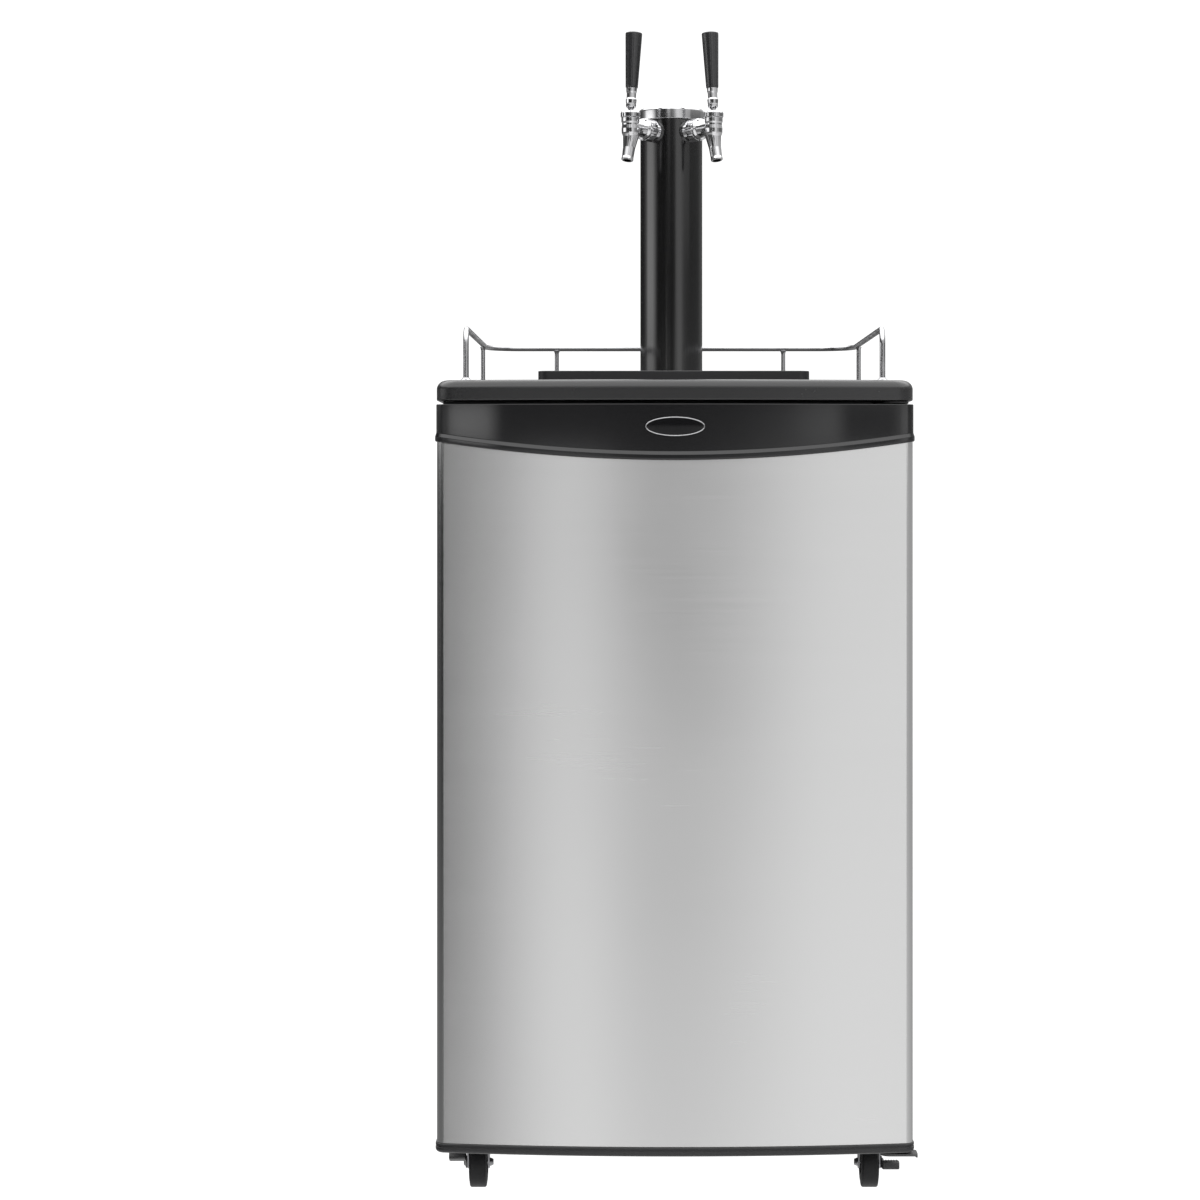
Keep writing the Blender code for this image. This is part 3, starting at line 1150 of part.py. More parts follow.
def make_inlet(finish):
    width, thick, height = INLET_PLATE
    floor = BODY_BASE_Z + BASE_SHEET + SEAT_GAP
    rear = BODY_REAR_Y - INLET_REAR_GAP
    x = HALF_WIDTH - INLET_FROM_SIDE
    plate = drawn(block, (x - width / 2, rear - thick, floor), (x + width / 2, rear, floor + height))
    middle = (x, rear, floor + height / 2)
    profile = [
        (GLAND_RADIUS * 1.3, -thick / 2), (GLAND_RADIUS * 1.3, GLAND_LENGTH * 0.25), (GLAND_RADIUS, GLAND_LENGTH * 0.3),
        (GLAND_RADIUS * 0.7, GLAND_LENGTH),
    ]
    gland = drawn(turned, profile, ROUND_SIDES, facing(middle, (0, 1, 0)))
    bore = drawn(rod, GLAND_BORE, (middle[0], rear + GLAND_LENGTH - GLAND_SOCKET, middle[2]),
                 (middle[0], rear + GLAND_LENGTH + OVERRUN, middle[2]), SMALL_SIDES)
    piece("mains_inlet", carved(plate, joined=[gland], cut=[bore]), finish["black_plastic"])


# Casters

def fork_mesh():
    """Fork with its riveted axle, seen from its swivel axis on the floor; the wheel trails towards +Y."""
    crown_z = WHEEL_RADIUS * 2 + CROWN_CLEARANCE
    race_top = CASTER_PLATE_Z - SEAT_GAP
    crown_back = CASTER_TRAIL + LEG_FOOT / 2
    crown = drawn(block, (-LEG_OUTER, -RACE_RADIUS, crown_z), (LEG_OUTER, crown_back, crown_z + CROWN_THICKNESS))
    joined = [
        drawn(rod, RACE_RADIUS, (0, 0, crown_z + CROWN_THICKNESS / 2), (0, 0, race_top)),
        drawn(rod, KINGPIN_RADIUS, (0, 0, crown_z + CROWN_THICKNESS / 2), (0, 0, BODY_BASE_Z - RUNNING_GAP)),
    ]
    foot = circle(LEG_FOOT, SMALL_SIDES, (CASTER_TRAIL, WHEEL_RADIUS))
    lower = [point for point in foot if point[1] < WHEEL_RADIUS + LEG_FOOT * 0.4]
    lower.sort(key=lambda point: math.atan2(point[0] - CASTER_TRAIL, WHEEL_RADIUS - point[1]))
    outline = [(-RACE_RADIUS * 0.8, crown_z + CROWN_THICKNESS / 2)] + lower + [
        (crown_back - CROWN_THICKNESS / 4, crown_z + CROWN_THICKNESS / 2)]
    for side in (-1, 1):
        stations = (side * LEG_INNER, side * (LEG_OUTER - LEG_GAP / 4))
        joined.append(drawn(loft, [[(x, y, z) for y, z in outline] for x in stations]))
    axle = (LEG_OUTER + AXLE_END, CASTER_TRAIL, WHEEL_RADIUS)
    joined.append(drawn(rod, AXLE_RADIUS, (-axle[0], *axle[1:]), axle, SMALL_SIDES))
    return carved(crown, joined=joined)


def wheel_mesh():
    half = WHEEL_WIDTH / 2
    bore = AXLE_RADIUS + RUNNING_GAP
    edge = WHEEL_ROUND
    profile = [(bore, -half + HUB_RECESS), (HUB_RADIUS, -half + HUB_RECESS), (HUB_RADIUS * 1.1, -half)]
    for k in range(CORNER_STEPS - 1):
        angle = math.pi / 2 * k / (CORNER_STEPS - 2)
        profile.append((WHEEL_RADIUS - edge * (1 - math.sin(angle)), -half + edge * (1 - math.cos(angle))))
    profile += [(radius, -height) for radius, height in reversed(profile)]
    bm = bmesh.new()
    turned(bm, profile, WHEEL_SIDES, facing((0, 0, 0), (1, 0, 0)), ring=True)
    return as_mesh(bm)


def brake_mesh(side, lift):
    """A side lock: an arm on the axle's end with a tab that turns outwards, lifted by an angle."""
    inner = LEG_OUTER + SEAT_GAP
    outer = inner + BRAKE_SHEET
    half = BRAKE_TAB_HEIGHT / 2
    outline = [(-BRAKE_ARM, -half)]
    for k in range(SMALL_SIDES + 1):
        angle = math.pi * (k / SMALL_SIDES - 0.5) * BRAKE_BOSS_SWEEP_SHARE
        outline.append((LEG_FOOT * math.cos(angle), LEG_FOOT * math.sin(angle)))
    outline.append((-BRAKE_ARM, half))
    arm = drawn(loft, [[(x, y, z) for y, z in outline] for x in (side * inner, side * outer)])
    tab = drawn(block, (side * (inner + outer) / 2, -BRAKE_ARM - BRAKE_TAB_DEPTH / 2, -half * BRAKE_TAB_SHARE),
                (side * (inner + BRAKE_TAB_REACH), -BRAKE_ARM + BRAKE_TAB_DEPTH / 2, half * BRAKE_TAB_SHARE))
    hole = drawn(rod, AXLE_RADIUS + RUNNING_GAP, (side * (inner - OVERRUN), 0, 0), (side * (outer + OVERRUN), 0, 0))
    mesh = carved(arm, joined=[tab], cut=[hole])
    mesh.transform(Matrix.Rotation(-lift, 4, "X"))
    return mesh


def make_casters(finish):
    fork = fork_mesh()
    wheel = wheel_mesh()
    for end, y in (("front", SWIVEL_FRONT_Y), ("rear", SWIVEL_REAR_Y)):
        for name, side in SIDES:
            x = side * SWIVEL_X
            swivel = pivot(f"swivel_{end}_{name}", (x, y, 0))
            piece(f"caster_fork_{end}_{name}", fork, finish["zinc"], swivel)
            axle = pivot(f"axle_{end}_{name}", (0, CASTER_TRAIL, WHEEL_RADIUS), parent=swivel)
            piece(f"caster_wheel_{end}_{name}", wheel, finish["black_rubber"], axle)
            if end == "front":
                lift = BRAKE_UP if side < 0 else BRAKE_DOWN
                piece(f"brake_lever_{name}", brake_mesh(side, lift), finish["black_plastic"], axle)


def main():
    for obj in list(bpy.data.objects):
        bpy.data.objects.remove(obj)
    finish = make_materials()
    make_cabinet(finish)
    make_thermostat(finish)
    make_worktop(finish)
    make_rail(finish)
    make_tray(finish)
    make_tower(finish)
    make_shanks(finish)
    make_taps(finish)
    make_lines(finish)
    make_door(finish)
    make_hinges(finish)
    make_compressor(finish)
    make_condenser(finish)
    make_inlet(finish)
    make_casters(finish)


main()
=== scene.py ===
"""Fine surfaces, finishes, studio and camera for a keg cooler with a twin-tap tower.

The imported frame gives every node's place; each operator here dresses one group of its pieces.
Metres, +Z up, the door faces -Y.
"""

from math import atan2, cos, pi, radians, sin, sqrt, tan

import bmesh
import bpy
from bpy.props import FloatProperty, FloatVectorProperty, IntProperty, PointerProperty
from mathutils import Matrix, Vector


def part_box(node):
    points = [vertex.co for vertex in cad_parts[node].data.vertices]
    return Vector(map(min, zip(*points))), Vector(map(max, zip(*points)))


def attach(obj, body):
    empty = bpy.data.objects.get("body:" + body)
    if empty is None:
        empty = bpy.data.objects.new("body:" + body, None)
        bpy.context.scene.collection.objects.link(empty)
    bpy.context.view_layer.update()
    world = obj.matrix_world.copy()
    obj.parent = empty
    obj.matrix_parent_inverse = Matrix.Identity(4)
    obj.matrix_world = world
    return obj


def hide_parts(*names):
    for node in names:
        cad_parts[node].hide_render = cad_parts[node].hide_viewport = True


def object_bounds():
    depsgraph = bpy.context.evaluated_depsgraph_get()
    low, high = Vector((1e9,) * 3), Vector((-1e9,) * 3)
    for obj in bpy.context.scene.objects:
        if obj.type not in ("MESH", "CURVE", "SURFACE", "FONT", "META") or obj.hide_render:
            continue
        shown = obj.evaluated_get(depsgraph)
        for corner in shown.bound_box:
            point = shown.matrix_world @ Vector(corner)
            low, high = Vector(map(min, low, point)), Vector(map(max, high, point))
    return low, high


bl_info = {
    "name": "Keg Cooler Dressing",
    "version": (1, 0, 0),
    "blender": (4, 5, 0),
    "location": "3D View > Sidebar > Keg Cooler",
    "description": "Dresses the frame of a keg cooler with its surfaces, finishes and studio",
    "category": "Object",
}

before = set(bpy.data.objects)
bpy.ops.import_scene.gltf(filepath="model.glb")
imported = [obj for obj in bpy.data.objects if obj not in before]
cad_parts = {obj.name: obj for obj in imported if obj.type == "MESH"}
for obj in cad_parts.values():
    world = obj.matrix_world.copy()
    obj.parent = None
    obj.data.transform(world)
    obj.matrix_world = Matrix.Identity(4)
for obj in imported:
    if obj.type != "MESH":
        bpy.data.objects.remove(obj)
frame_box = [list(corner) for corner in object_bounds()]

SIDES = (("left", -1), ("right", 1))
OVERRUN = 0.01
FOUR_CORNERS = ((-1, -1), (-1, 1), (1, -1), (1, 1))


# Places taken from the frame

def low(node):
    return Vector(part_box(node)[0])


def high(node):
    return Vector(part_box(node)[1])


def ends_of(node):
    return low(node), high(node)


def middle(node):
    return (low(node) + high(node)) / 2


def half_size(node):
    return (high(node) - low(node)) / 2


SHELL_LOW, SHELL_HIGH = ends_of("cabinet_shell")
BODY_HALF = SHELL_HIGH.x
BODY_FRONT = SHELL_LOW.y
BODY_REAR = SHELL_HIGH.y
BODY_BASE = low("base_frame").z
BODY_TOP = SHELL_HIGH.z
DECK = low("drip_tray").z
TOP_OF_SLAB = high("worktop").z
DOOR_BASE = low("door_bottom_trim").z
DOOR_TOP = high("door_fascia").z
TOWER_AXIS = Vector((0, middle("tower_cap").y, 0))
TOWER_TOP = low("tower_cap").z + 0.003


# Meshes

def eased(corners, radii, steps=6, closed=False):
    """A run of straight pieces through corner points, each corner eased by its radius."""
    corners = [Vector(corner) for corner in corners]
    count = len(corners)
    if not isinstance(radii, (list, tuple)):
        radii = [radii] * count
    route = []
    for i, corner in enumerate(corners):
        loose = not closed and i in (0, count - 1)
        if loose or radii[i] <= 0:
            route.append(corner)
            continue
        back = corners[i - 1] - corner
        onward = corners[(i + 1) % count] - corner
        room = min(back.length, onward.length) * 0.499
        back.normalize()
        onward.normalize()
        half = back.angle(onward) / 2
        if half > pi / 2 - 0.001:
            route.append(corner)
            continue
        radius = min(radii[i], room * tan(half))
        hub = corner + (back + onward).normalized() * (radius / sin(half))
        reach = radius / tan(half)
        first = corner + back * reach - hub
        last = corner + onward * reach - hub
        sweep = pi - 2 * half
        for k in range(steps + 1):
            share = k / steps
            route.append(hub + (first * sin((1 - share) * sweep) + last * sin(share * sweep))
                         / sin(sweep))
    return route


def circle(radius, sides, centre=(0, 0), start=0.0):
    turn = 2 * pi / sides
    return [(centre[0] + radius * cos(start + turn * i), centre[1] + radius * sin(start + turn * i))
            for i in range(sides)]


def oblong(half_x, half_y, radius, centre=(0, 0), steps=6):
    """A rectangle with rounded corners."""
    corners = [(half_x, half_y), (-half_x, half_y), (-half_x, -half_y), (half_x, -half_y)]
    corners = [(centre[0] + x, centre[1] + y) for x, y in corners]
    return [tuple(point) for point in eased(corners, radius, steps, closed=True)]


def loft(bm, rings, closed=False, ends=True):
    """Joins rings of points into a skin; a ring of one point closes it as an apex."""
    rows = [[bm.verts.new(point) for point in ring] for ring in rings]
    pairs = list(zip(rows, rows[1:]))
    if closed:
        pairs.append((rows[-1], rows[0]))
    for lower, upper in pairs:
        count = max(len(lower), len(upper))
        for i in range(count):
            j = (i + 1) % count
            corners = []
            for vert in (lower[i % len(lower)], lower[j % len(lower)], upper[j % len(upper)],
                         upper[i % len(upper)]):
                if vert not in corners:
                    corners.append(vert)
            bm.faces.new(corners)
    if ends and not closed:
        for row in (rows[0], rows[-1]):
            if len(row) > 2:
                bm.faces.new(row)
    return [vert for row in rows for vert in row]


def facing(point, direction):
    """A frame at point whose Z axis runs along direction."""
    return Matrix.Translation(Vector(point)) @ Vector(direction).to_track_quat("Z", "Y").to_matrix().to_4x4()


def turned(bm, profile, sides=48, place=None, ring=False, scallop=None):
    """A solid turned round place's Z axis from (radius, height) points.

    A scallop gives each vertex's share of the radius from its number, radius and height.
    """
    rings = []
    for radius, height in profile:
        if radius <= 0:
            rings.append([(0, 0, height)])
            continue
        shares = [scallop(i, radius, height) if scallop else 1 for i in range(sides)]
        rings.append([(x * part, y * part, height) for (x, y), part in zip(circle(radius, sides), shares)])
    verts = loft(bm, rings, closed=ring)
    if place is not None:
        bmesh.ops.transform(bm, matrix=place, verts=verts)
    return verts


def bar(bm, radius, start, end, sides=32, edge=0.0):
    """A round bar between two points, its ends eased by edge."""
    start, end = Vector(start), Vector(end)
    length = (end - start).length
    profile = eased([(0, 0), (radius, 0), (radius, length), (0, length)], edge, 4)
    return turned(bm, profile, sides, facing(start, end - start))


def wire(bm, route, radius, sides=20, closed=False):
    """A round wire along a route, its section carried along without twist."""
    route = [Vector(point) for point in route]
    kept = [route[0]]
    for point in route[1:]:
        if (point - kept[-1]).length > radius * 0.02:
            kept.append(point)
    ahead = (kept[1] - kept[0]).normalized()
    across = ahead.orthogonal().normalized()
    rings = []
    for i, point in enumerate(kept):
        heading = (kept[min(i + 1, len(kept) - 1)] - kept[max(i - 1, 0)]).normalized()
        across = (ahead.rotation_difference(heading) @ across).normalized()
        ahead = heading
        upward = ahead.cross(across)
        rings.append([point + across * x + upward * y for x, y in circle(radius, sides)])
    return loft(bm, rings, closed)


def raised(bm, outline, base, top):
    """A flat outline of (x, y) points raised from base to top."""
    loft(bm, [[(x, y, z) for x, y in outline] for z in (base, top)])


def along_y(bm, outline, *stations):
    """An outline of (x, z) points carried along Y."""
    loft(bm, [[(x, y, z) for x, z in outline] for y in stations])


def across_x(bm, outline, *stations):
    """An outline of (y, z) points carried along X."""
    loft(bm, [[(x, y, z) for y, z in outline] for x in stations])


def box(bm, corner, opposite):
    """A box between two corners."""
    (x0, y0, z0), (x1, y1, z1) = corner, opposite
    raised(bm, [(x0, y0), (x1, y0), (x1, y1), (x0, y1)], z0, z1)


def footprint(node, axes, radius, inset=0.0, steps=6):
    """The rounded outline of a node's box in the plane that axes names, such as xy."""
    centre, half = getattr(middle(node), axes), getattr(half_size(node), axes)
    return oblong(half.x - inset, half.y - inset, radius, centre, steps)


def sheet_with_holes(bm, outline, holes, base, top):
    """A flat sheet of (x, y) points with holes through it."""
    edges = []
    for loop in [outline, *holes]:
        ring = [bm.verts.new((x, y, base)) for x, y in loop]
        edges += [bm.edges.new((ring[i - 1], ring[i])) for i in range(len(ring))]
    filled = bmesh.ops.triangle_fill(bm, use_beauty=True, edges=edges, normal=(0, 0, -1))
    faces = [face for face in filled["geom"] if isinstance(face, bmesh.types.BMFace)]
    grown = bmesh.ops.extrude_face_region(bm, geom=faces, use_keep_orig=True)
    lifted = [vert for vert in grown["geom"] if isinstance(vert, bmesh.types.BMVert)]
    bmesh.ops.translate(bm, verts=lifted, vec=(0, 0, top - base))


def shape(draw, *values, **options):
    """A new bmesh that one drawing function fills."""
    bm = bmesh.new()
    draw(bm, *values, **options)
    return bm


def lathe(corners, radii, steps, sides, place=None, ring=False, scallop=None):
    """A new solid turned from a profile whose corners are eased."""
    return shape(turned, eased(corners, radii, steps), sides, place, ring, scallop)


def to_mesh(bm, name="shape"):
    bmesh.ops.recalc_face_normals(bm, faces=bm.faces)
    mesh = bpy.data.meshes.new(name)
    bm.to_mesh(mesh)
    bm.free()
    return mesh


def carved(base, joined=(), cut=()):
    """The base shape with others joined to it and then others cut from it, as a mesh."""
    tools = [(bm, "UNION") for bm in joined] + [(bm, "DIFFERENCE") for bm in cut]
    body = bpy.data.objects.new("carving", to_mesh(base))
    bpy.context.scene.collection.objects.link(body)
    helpers = [body]
    for bm, operation in tools:
        helper = bpy.data.objects.new("tool", to_mesh(bm))
        bpy.context.scene.collection.objects.link(helper)
        helpers.append(helper)
        modifier = body.modifiers.new("shape", "BOOLEAN")
        modifier.operation = operation
        modifier.object = helper
    evaluated = body.evaluated_get(bpy.context.evaluated_depsgraph_get())
    result = bpy.data.meshes.new_from_object(evaluated)
    for helper in helpers:
        mesh = helper.data
        bpy.data.objects.remove(helper)
        bpy.data.meshes.remove(mesh)
    return result


def soften(obj, width, segments=3):
    """Rounds an object's sharp edges."""
    modifier = obj.modifiers.new("softened_edges", "BEVEL")
    modifier.width = width
    modifier.segments = segments
    modifier.limit_method = "ANGLE"
    modifier.angle_limit = radians(40)
    modifier.harden_normals = True
    modifier.use_clamp_overlap = True


# The colour slot that a finish belongs to, unless a piece names its own
SLOTS = {
    "cabinet paint": "black_paint", "hinge paint": "black_paint", "zinc": "zinc", "galvanised": "zinc",
    "liner white": "white_plastic", "aluminium": "aluminium", "door black": "black_plastic",
    "trim black": "black_plastic", "tray black": "black_plastic", "grate black": "black_plastic",
    "brake black": "black_plastic", "bore shadow": "black_plastic", "worktop": "black_plastic",
    "strip gloss": "black_gloss", "chrome": "chrome", "rail chrome": "chrome",
    "machine enamel": "black_paint", "tower enamel": "black_enamel", "rubber": "black_rubber",
    "wheel": "black_rubber", "gasket": "grey_rubber", "door steel": "stainless", "handle black": "handle",
    "foam": "foam", "hose": "hose",
}


def piece(name, form, look, stands_for=(), body="cabinet", slot=None, edge=0.0, crease=38):
    """One named piece with a named finish that rides on a body of the frame."""
    mesh = to_mesh(form, name) if isinstance(form, bmesh.types.BMesh) else form
    mesh.name = name
    mesh.shade_smooth()
    mesh.set_sharp_from_angle(angle=radians(crease))
    obj = bpy.data.objects.new(name, mesh)
    bpy.context.scene.collection.objects.link(obj)
    mesh.materials.clear()
    mesh.materials.append(finish(look))
    if edge > 0:
        soften(obj, edge)
    else:
        obj.modifiers.new("flat_faces_kept_flat", "WEIGHTED_NORMAL").keep_sharp = True
    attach(obj, body)
    if stands_for:
        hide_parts(*stands_for)
    slot = slot or SLOTS.get(look)
    return obj


def refinish(node, look, edge):
    """Gives one of the frame's own nodes a better finish and softer edges."""
    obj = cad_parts[node]
    obj.data.materials.clear()
    obj.data.materials.append(finish(look))
    if edge > 0:
        soften(obj, edge, segments=2)


def screw_head(bm, point, direction, radius, rise, socket="cross", turn=0.4):
    """A domed screw head with a driving recess, standing on a surface."""
    place = facing(point, direction) @ Matrix.Rotation(turn, 4, "Z")
    profile = [(radius, 0), (radius, rise * 0.30)]
    for k in range(1, 7):
        angle = pi / 2 * k / 6
        profile.append((radius * cos(angle), rise * (0.30 + 0.70 * sin(angle))))
    profile[-1] = (0, rise)
    recess_radius = radius * 0.48
    dome = [point for point in profile if point[0] > recess_radius * 1.05]
    depth = rise * 0.35
    if socket == "hex":
        dome += [(recess_radius * 1.05, rise * 0.98), (recess_radius, rise * 0.93), (recess_radius, depth),
                 (0, depth)]
        turned(bm, [(0, 0)] + dome, 24, place)
        return
    dome += [(radius * 0.16, rise * 0.99), (radius * 0.10, depth * 1.3), (0, depth)]

    def cross(i, wide, height):
        return 1.55 if height >= rise * 0.9 and i % 6 == 0 else 1.0

    turned(bm, [(0, 0)] + dome, 24, place, scallop=cross)


def screws(name, spots, direction, radius, rise, socket="cross"):
    """One piece of plated screw heads on the cabinet, one at each spot."""
    bm = bmesh.new()
    for spot in spots:
        screw_head(bm, spot, direction, radius, rise, socket)
    piece(name, bm, "zinc")


# Finishes

FINISH = {}
NODE_STEP = 200


def feed(tree, socket, value):
    """Joins an output to a socket, or sets the socket to a plain value."""
    if hasattr(value, "is_output"):
        tree.links.new(value, socket)
    else:
        socket.default_value = value


def open_group(name, inputs, outputs):
    """A new shader node group with its sockets; inputs are (name, socket type, default)."""
    group = bpy.data.node_groups.new(name, "ShaderNodeTree")
    for label, kind, default in inputs:
        socket = group.interface.new_socket(name=label, in_out="INPUT", socket_type=kind)
        if default is not None:
            socket.default_value = default
    for label, kind in outputs:
        group.interface.new_socket(name=label, in_out="OUTPUT", socket_type=kind)
    entry = group.nodes.new("NodeGroupInput")
    leave = group.nodes.new("NodeGroupOutput")
    return group, entry, leave


def node(tree, kind, inputs=(), **settings):
    """A new node with its inputs fed, set in a row behind the ones before it."""
    made = tree.nodes.new(kind)
    made.location = (NODE_STEP * len(tree.nodes), 0)
    for name, value in settings.items():
        setattr(made, name, value)
    for name, value in dict(inputs).items():
        feed(tree, made.inputs[name], value)
    return made


def math_node(tree, operation, first, second, clamp=False):
    """A sum of two values; each is a socket or a number."""
    made = node(tree, "ShaderNodeMath", operation=operation, use_clamp=clamp)
    for socket, value in zip(made.inputs, (first, second)):
        feed(tree, socket, value)
    return made.outputs[0]


def noise(tree, vector, scale, detail=2.0, roughness=0.5, distortion=0.0):
    inputs = {"Vector": vector, "Scale": scale, "Detail": detail, "Roughness": roughness,
              "Distortion": distortion}
    return node(tree, "ShaderNodeTexNoise", inputs).outputs["Fac"]


def brushed_lines_group():
    """Long fine scratches that run along X or round the piece; the across value is lines per metre."""
    group, entry, leave = open_group("brushed lines", [
        ("Vector", "NodeSocketVector", None), ("Along", "NodeSocketVector", (1.0, 1.0, 0.0)),
        ("Across", "NodeSocketVector", (0.0, 0.0, 1.0)), ("Density", "NodeSocketFloat", 900.0),
        ("Length", "NodeSocketFloat", 4.0),
    ], [("Lines", "NodeSocketFloat"), ("Bands", "NodeSocketFloat")])

    def vectors(operation, first, second, second_socket=1):
        made = node(group, "ShaderNodeVectorMath", operation=operation)
        group.links.new(first, made.inputs[0])
        group.links.new(second, made.inputs[second_socket])
        return made.outputs[0]

    streaks = []
    for fineness in (1.0, 0.28):
        density = math_node(group, "MULTIPLY", entry.outputs["Density"], fineness)
        fine = vectors("SCALE", entry.outputs["Across"], density, "Scale")
        coarse = vectors("SCALE", entry.outputs["Along"], entry.outputs["Length"], "Scale")
        spread = vectors("MULTIPLY", entry.outputs["Vector"], vectors("ADD", fine, coarse))
        streaks.append(noise(group, spread, 1.0, 3.0, 0.6))
    mixed = math_node(group, "ADD", *streaks)
    group.links.new(math_node(group, "MULTIPLY", mixed, 0.5), leave.inputs["Lines"])
    group.links.new(streaks[1], leave.inputs["Bands"])
    return group


def moulded_grain_group():
    """The fine pebbled grain of a moulded or sprayed surface."""
    group, entry, leave = open_group("moulded grain", [
        ("Vector", "NodeSocketVector", None), ("Density", "NodeSocketFloat", 700.0),
    ], [("Height", "NodeSocketFloat"), ("Mask", "NodeSocketFloat")])
    vector, density = entry.outputs["Vector"], entry.outputs["Density"]
    cells = node(group, "ShaderNodeTexVoronoi", {"Vector": vector, "Scale": density}, feature="SMOOTH_F1")
    cells.inputs["Smoothness"].default_value = 0.6
    fuzz = noise(group, vector, math_node(group, "MULTIPLY", density, 0.45), 3.0)
    group.links.new(math_node(group, "ADD", cells.outputs["Distance"], fuzz), leave.inputs["Height"])
    group.links.new(fuzz, leave.inputs["Mask"])
    return group


def handling_group():
    """Broad uneven sheen left by hands and cloths, and the dust that settles on what faces up."""
    group, entry, leave = open_group(
        "handling",
        [("Vector", "NodeSocketVector", None), ("Size", "NodeSocketFloat", 7.0), ("Dust", "NodeSocketFloat", 0.2)],
        [("Smear", "NodeSocketFloat"), ("Dust", "NodeSocketFloat")])
    cloud = noise(group, entry.outputs["Vector"], entry.outputs["Size"], 5.0, distortion=0.6)
    group.links.new(cloud, leave.inputs["Smear"])
    surface = node(group, "ShaderNodeNewGeometry")
    facing_up = node(group, "ShaderNodeSeparateXYZ", {"Vector": surface.outputs["Normal"]})
    lifted = math_node(group, "POWER", math_node(group, "MAXIMUM", facing_up.outputs["Z"], 0.0), 4.0)
    specks = noise(group, entry.outputs["Vector"], 260.0, 4.0, 0.7)
    settled = math_node(group, "MULTIPLY", lifted, specks)
    dust = math_node(group, "MULTIPLY", settled, entry.outputs["Dust"], clamp=True)
    group.links.new(dust, leave.inputs["Dust"])
    return group


def edge_rub_group():
    """Where corners stand proud and are rubbed brighter."""
    group, entry, leave = open_group("edge rub", [
        ("Amount", "NodeSocketFloat", 0.3),
    ], [("Mask", "NodeSocketFloat")])
    surface = node(group, "ShaderNodeNewGeometry")
    proud = node(group, "ShaderNodeMapRange",
                 {"From Min": 0.52, "From Max": 0.64, "Value": surface.outputs["Pointiness"]})
    group.links.new(math_node(group, "MULTIPLY", proud.outputs[0], entry.outputs["Amount"], clamp=True),
                    leave.inputs["Mask"])
    return group


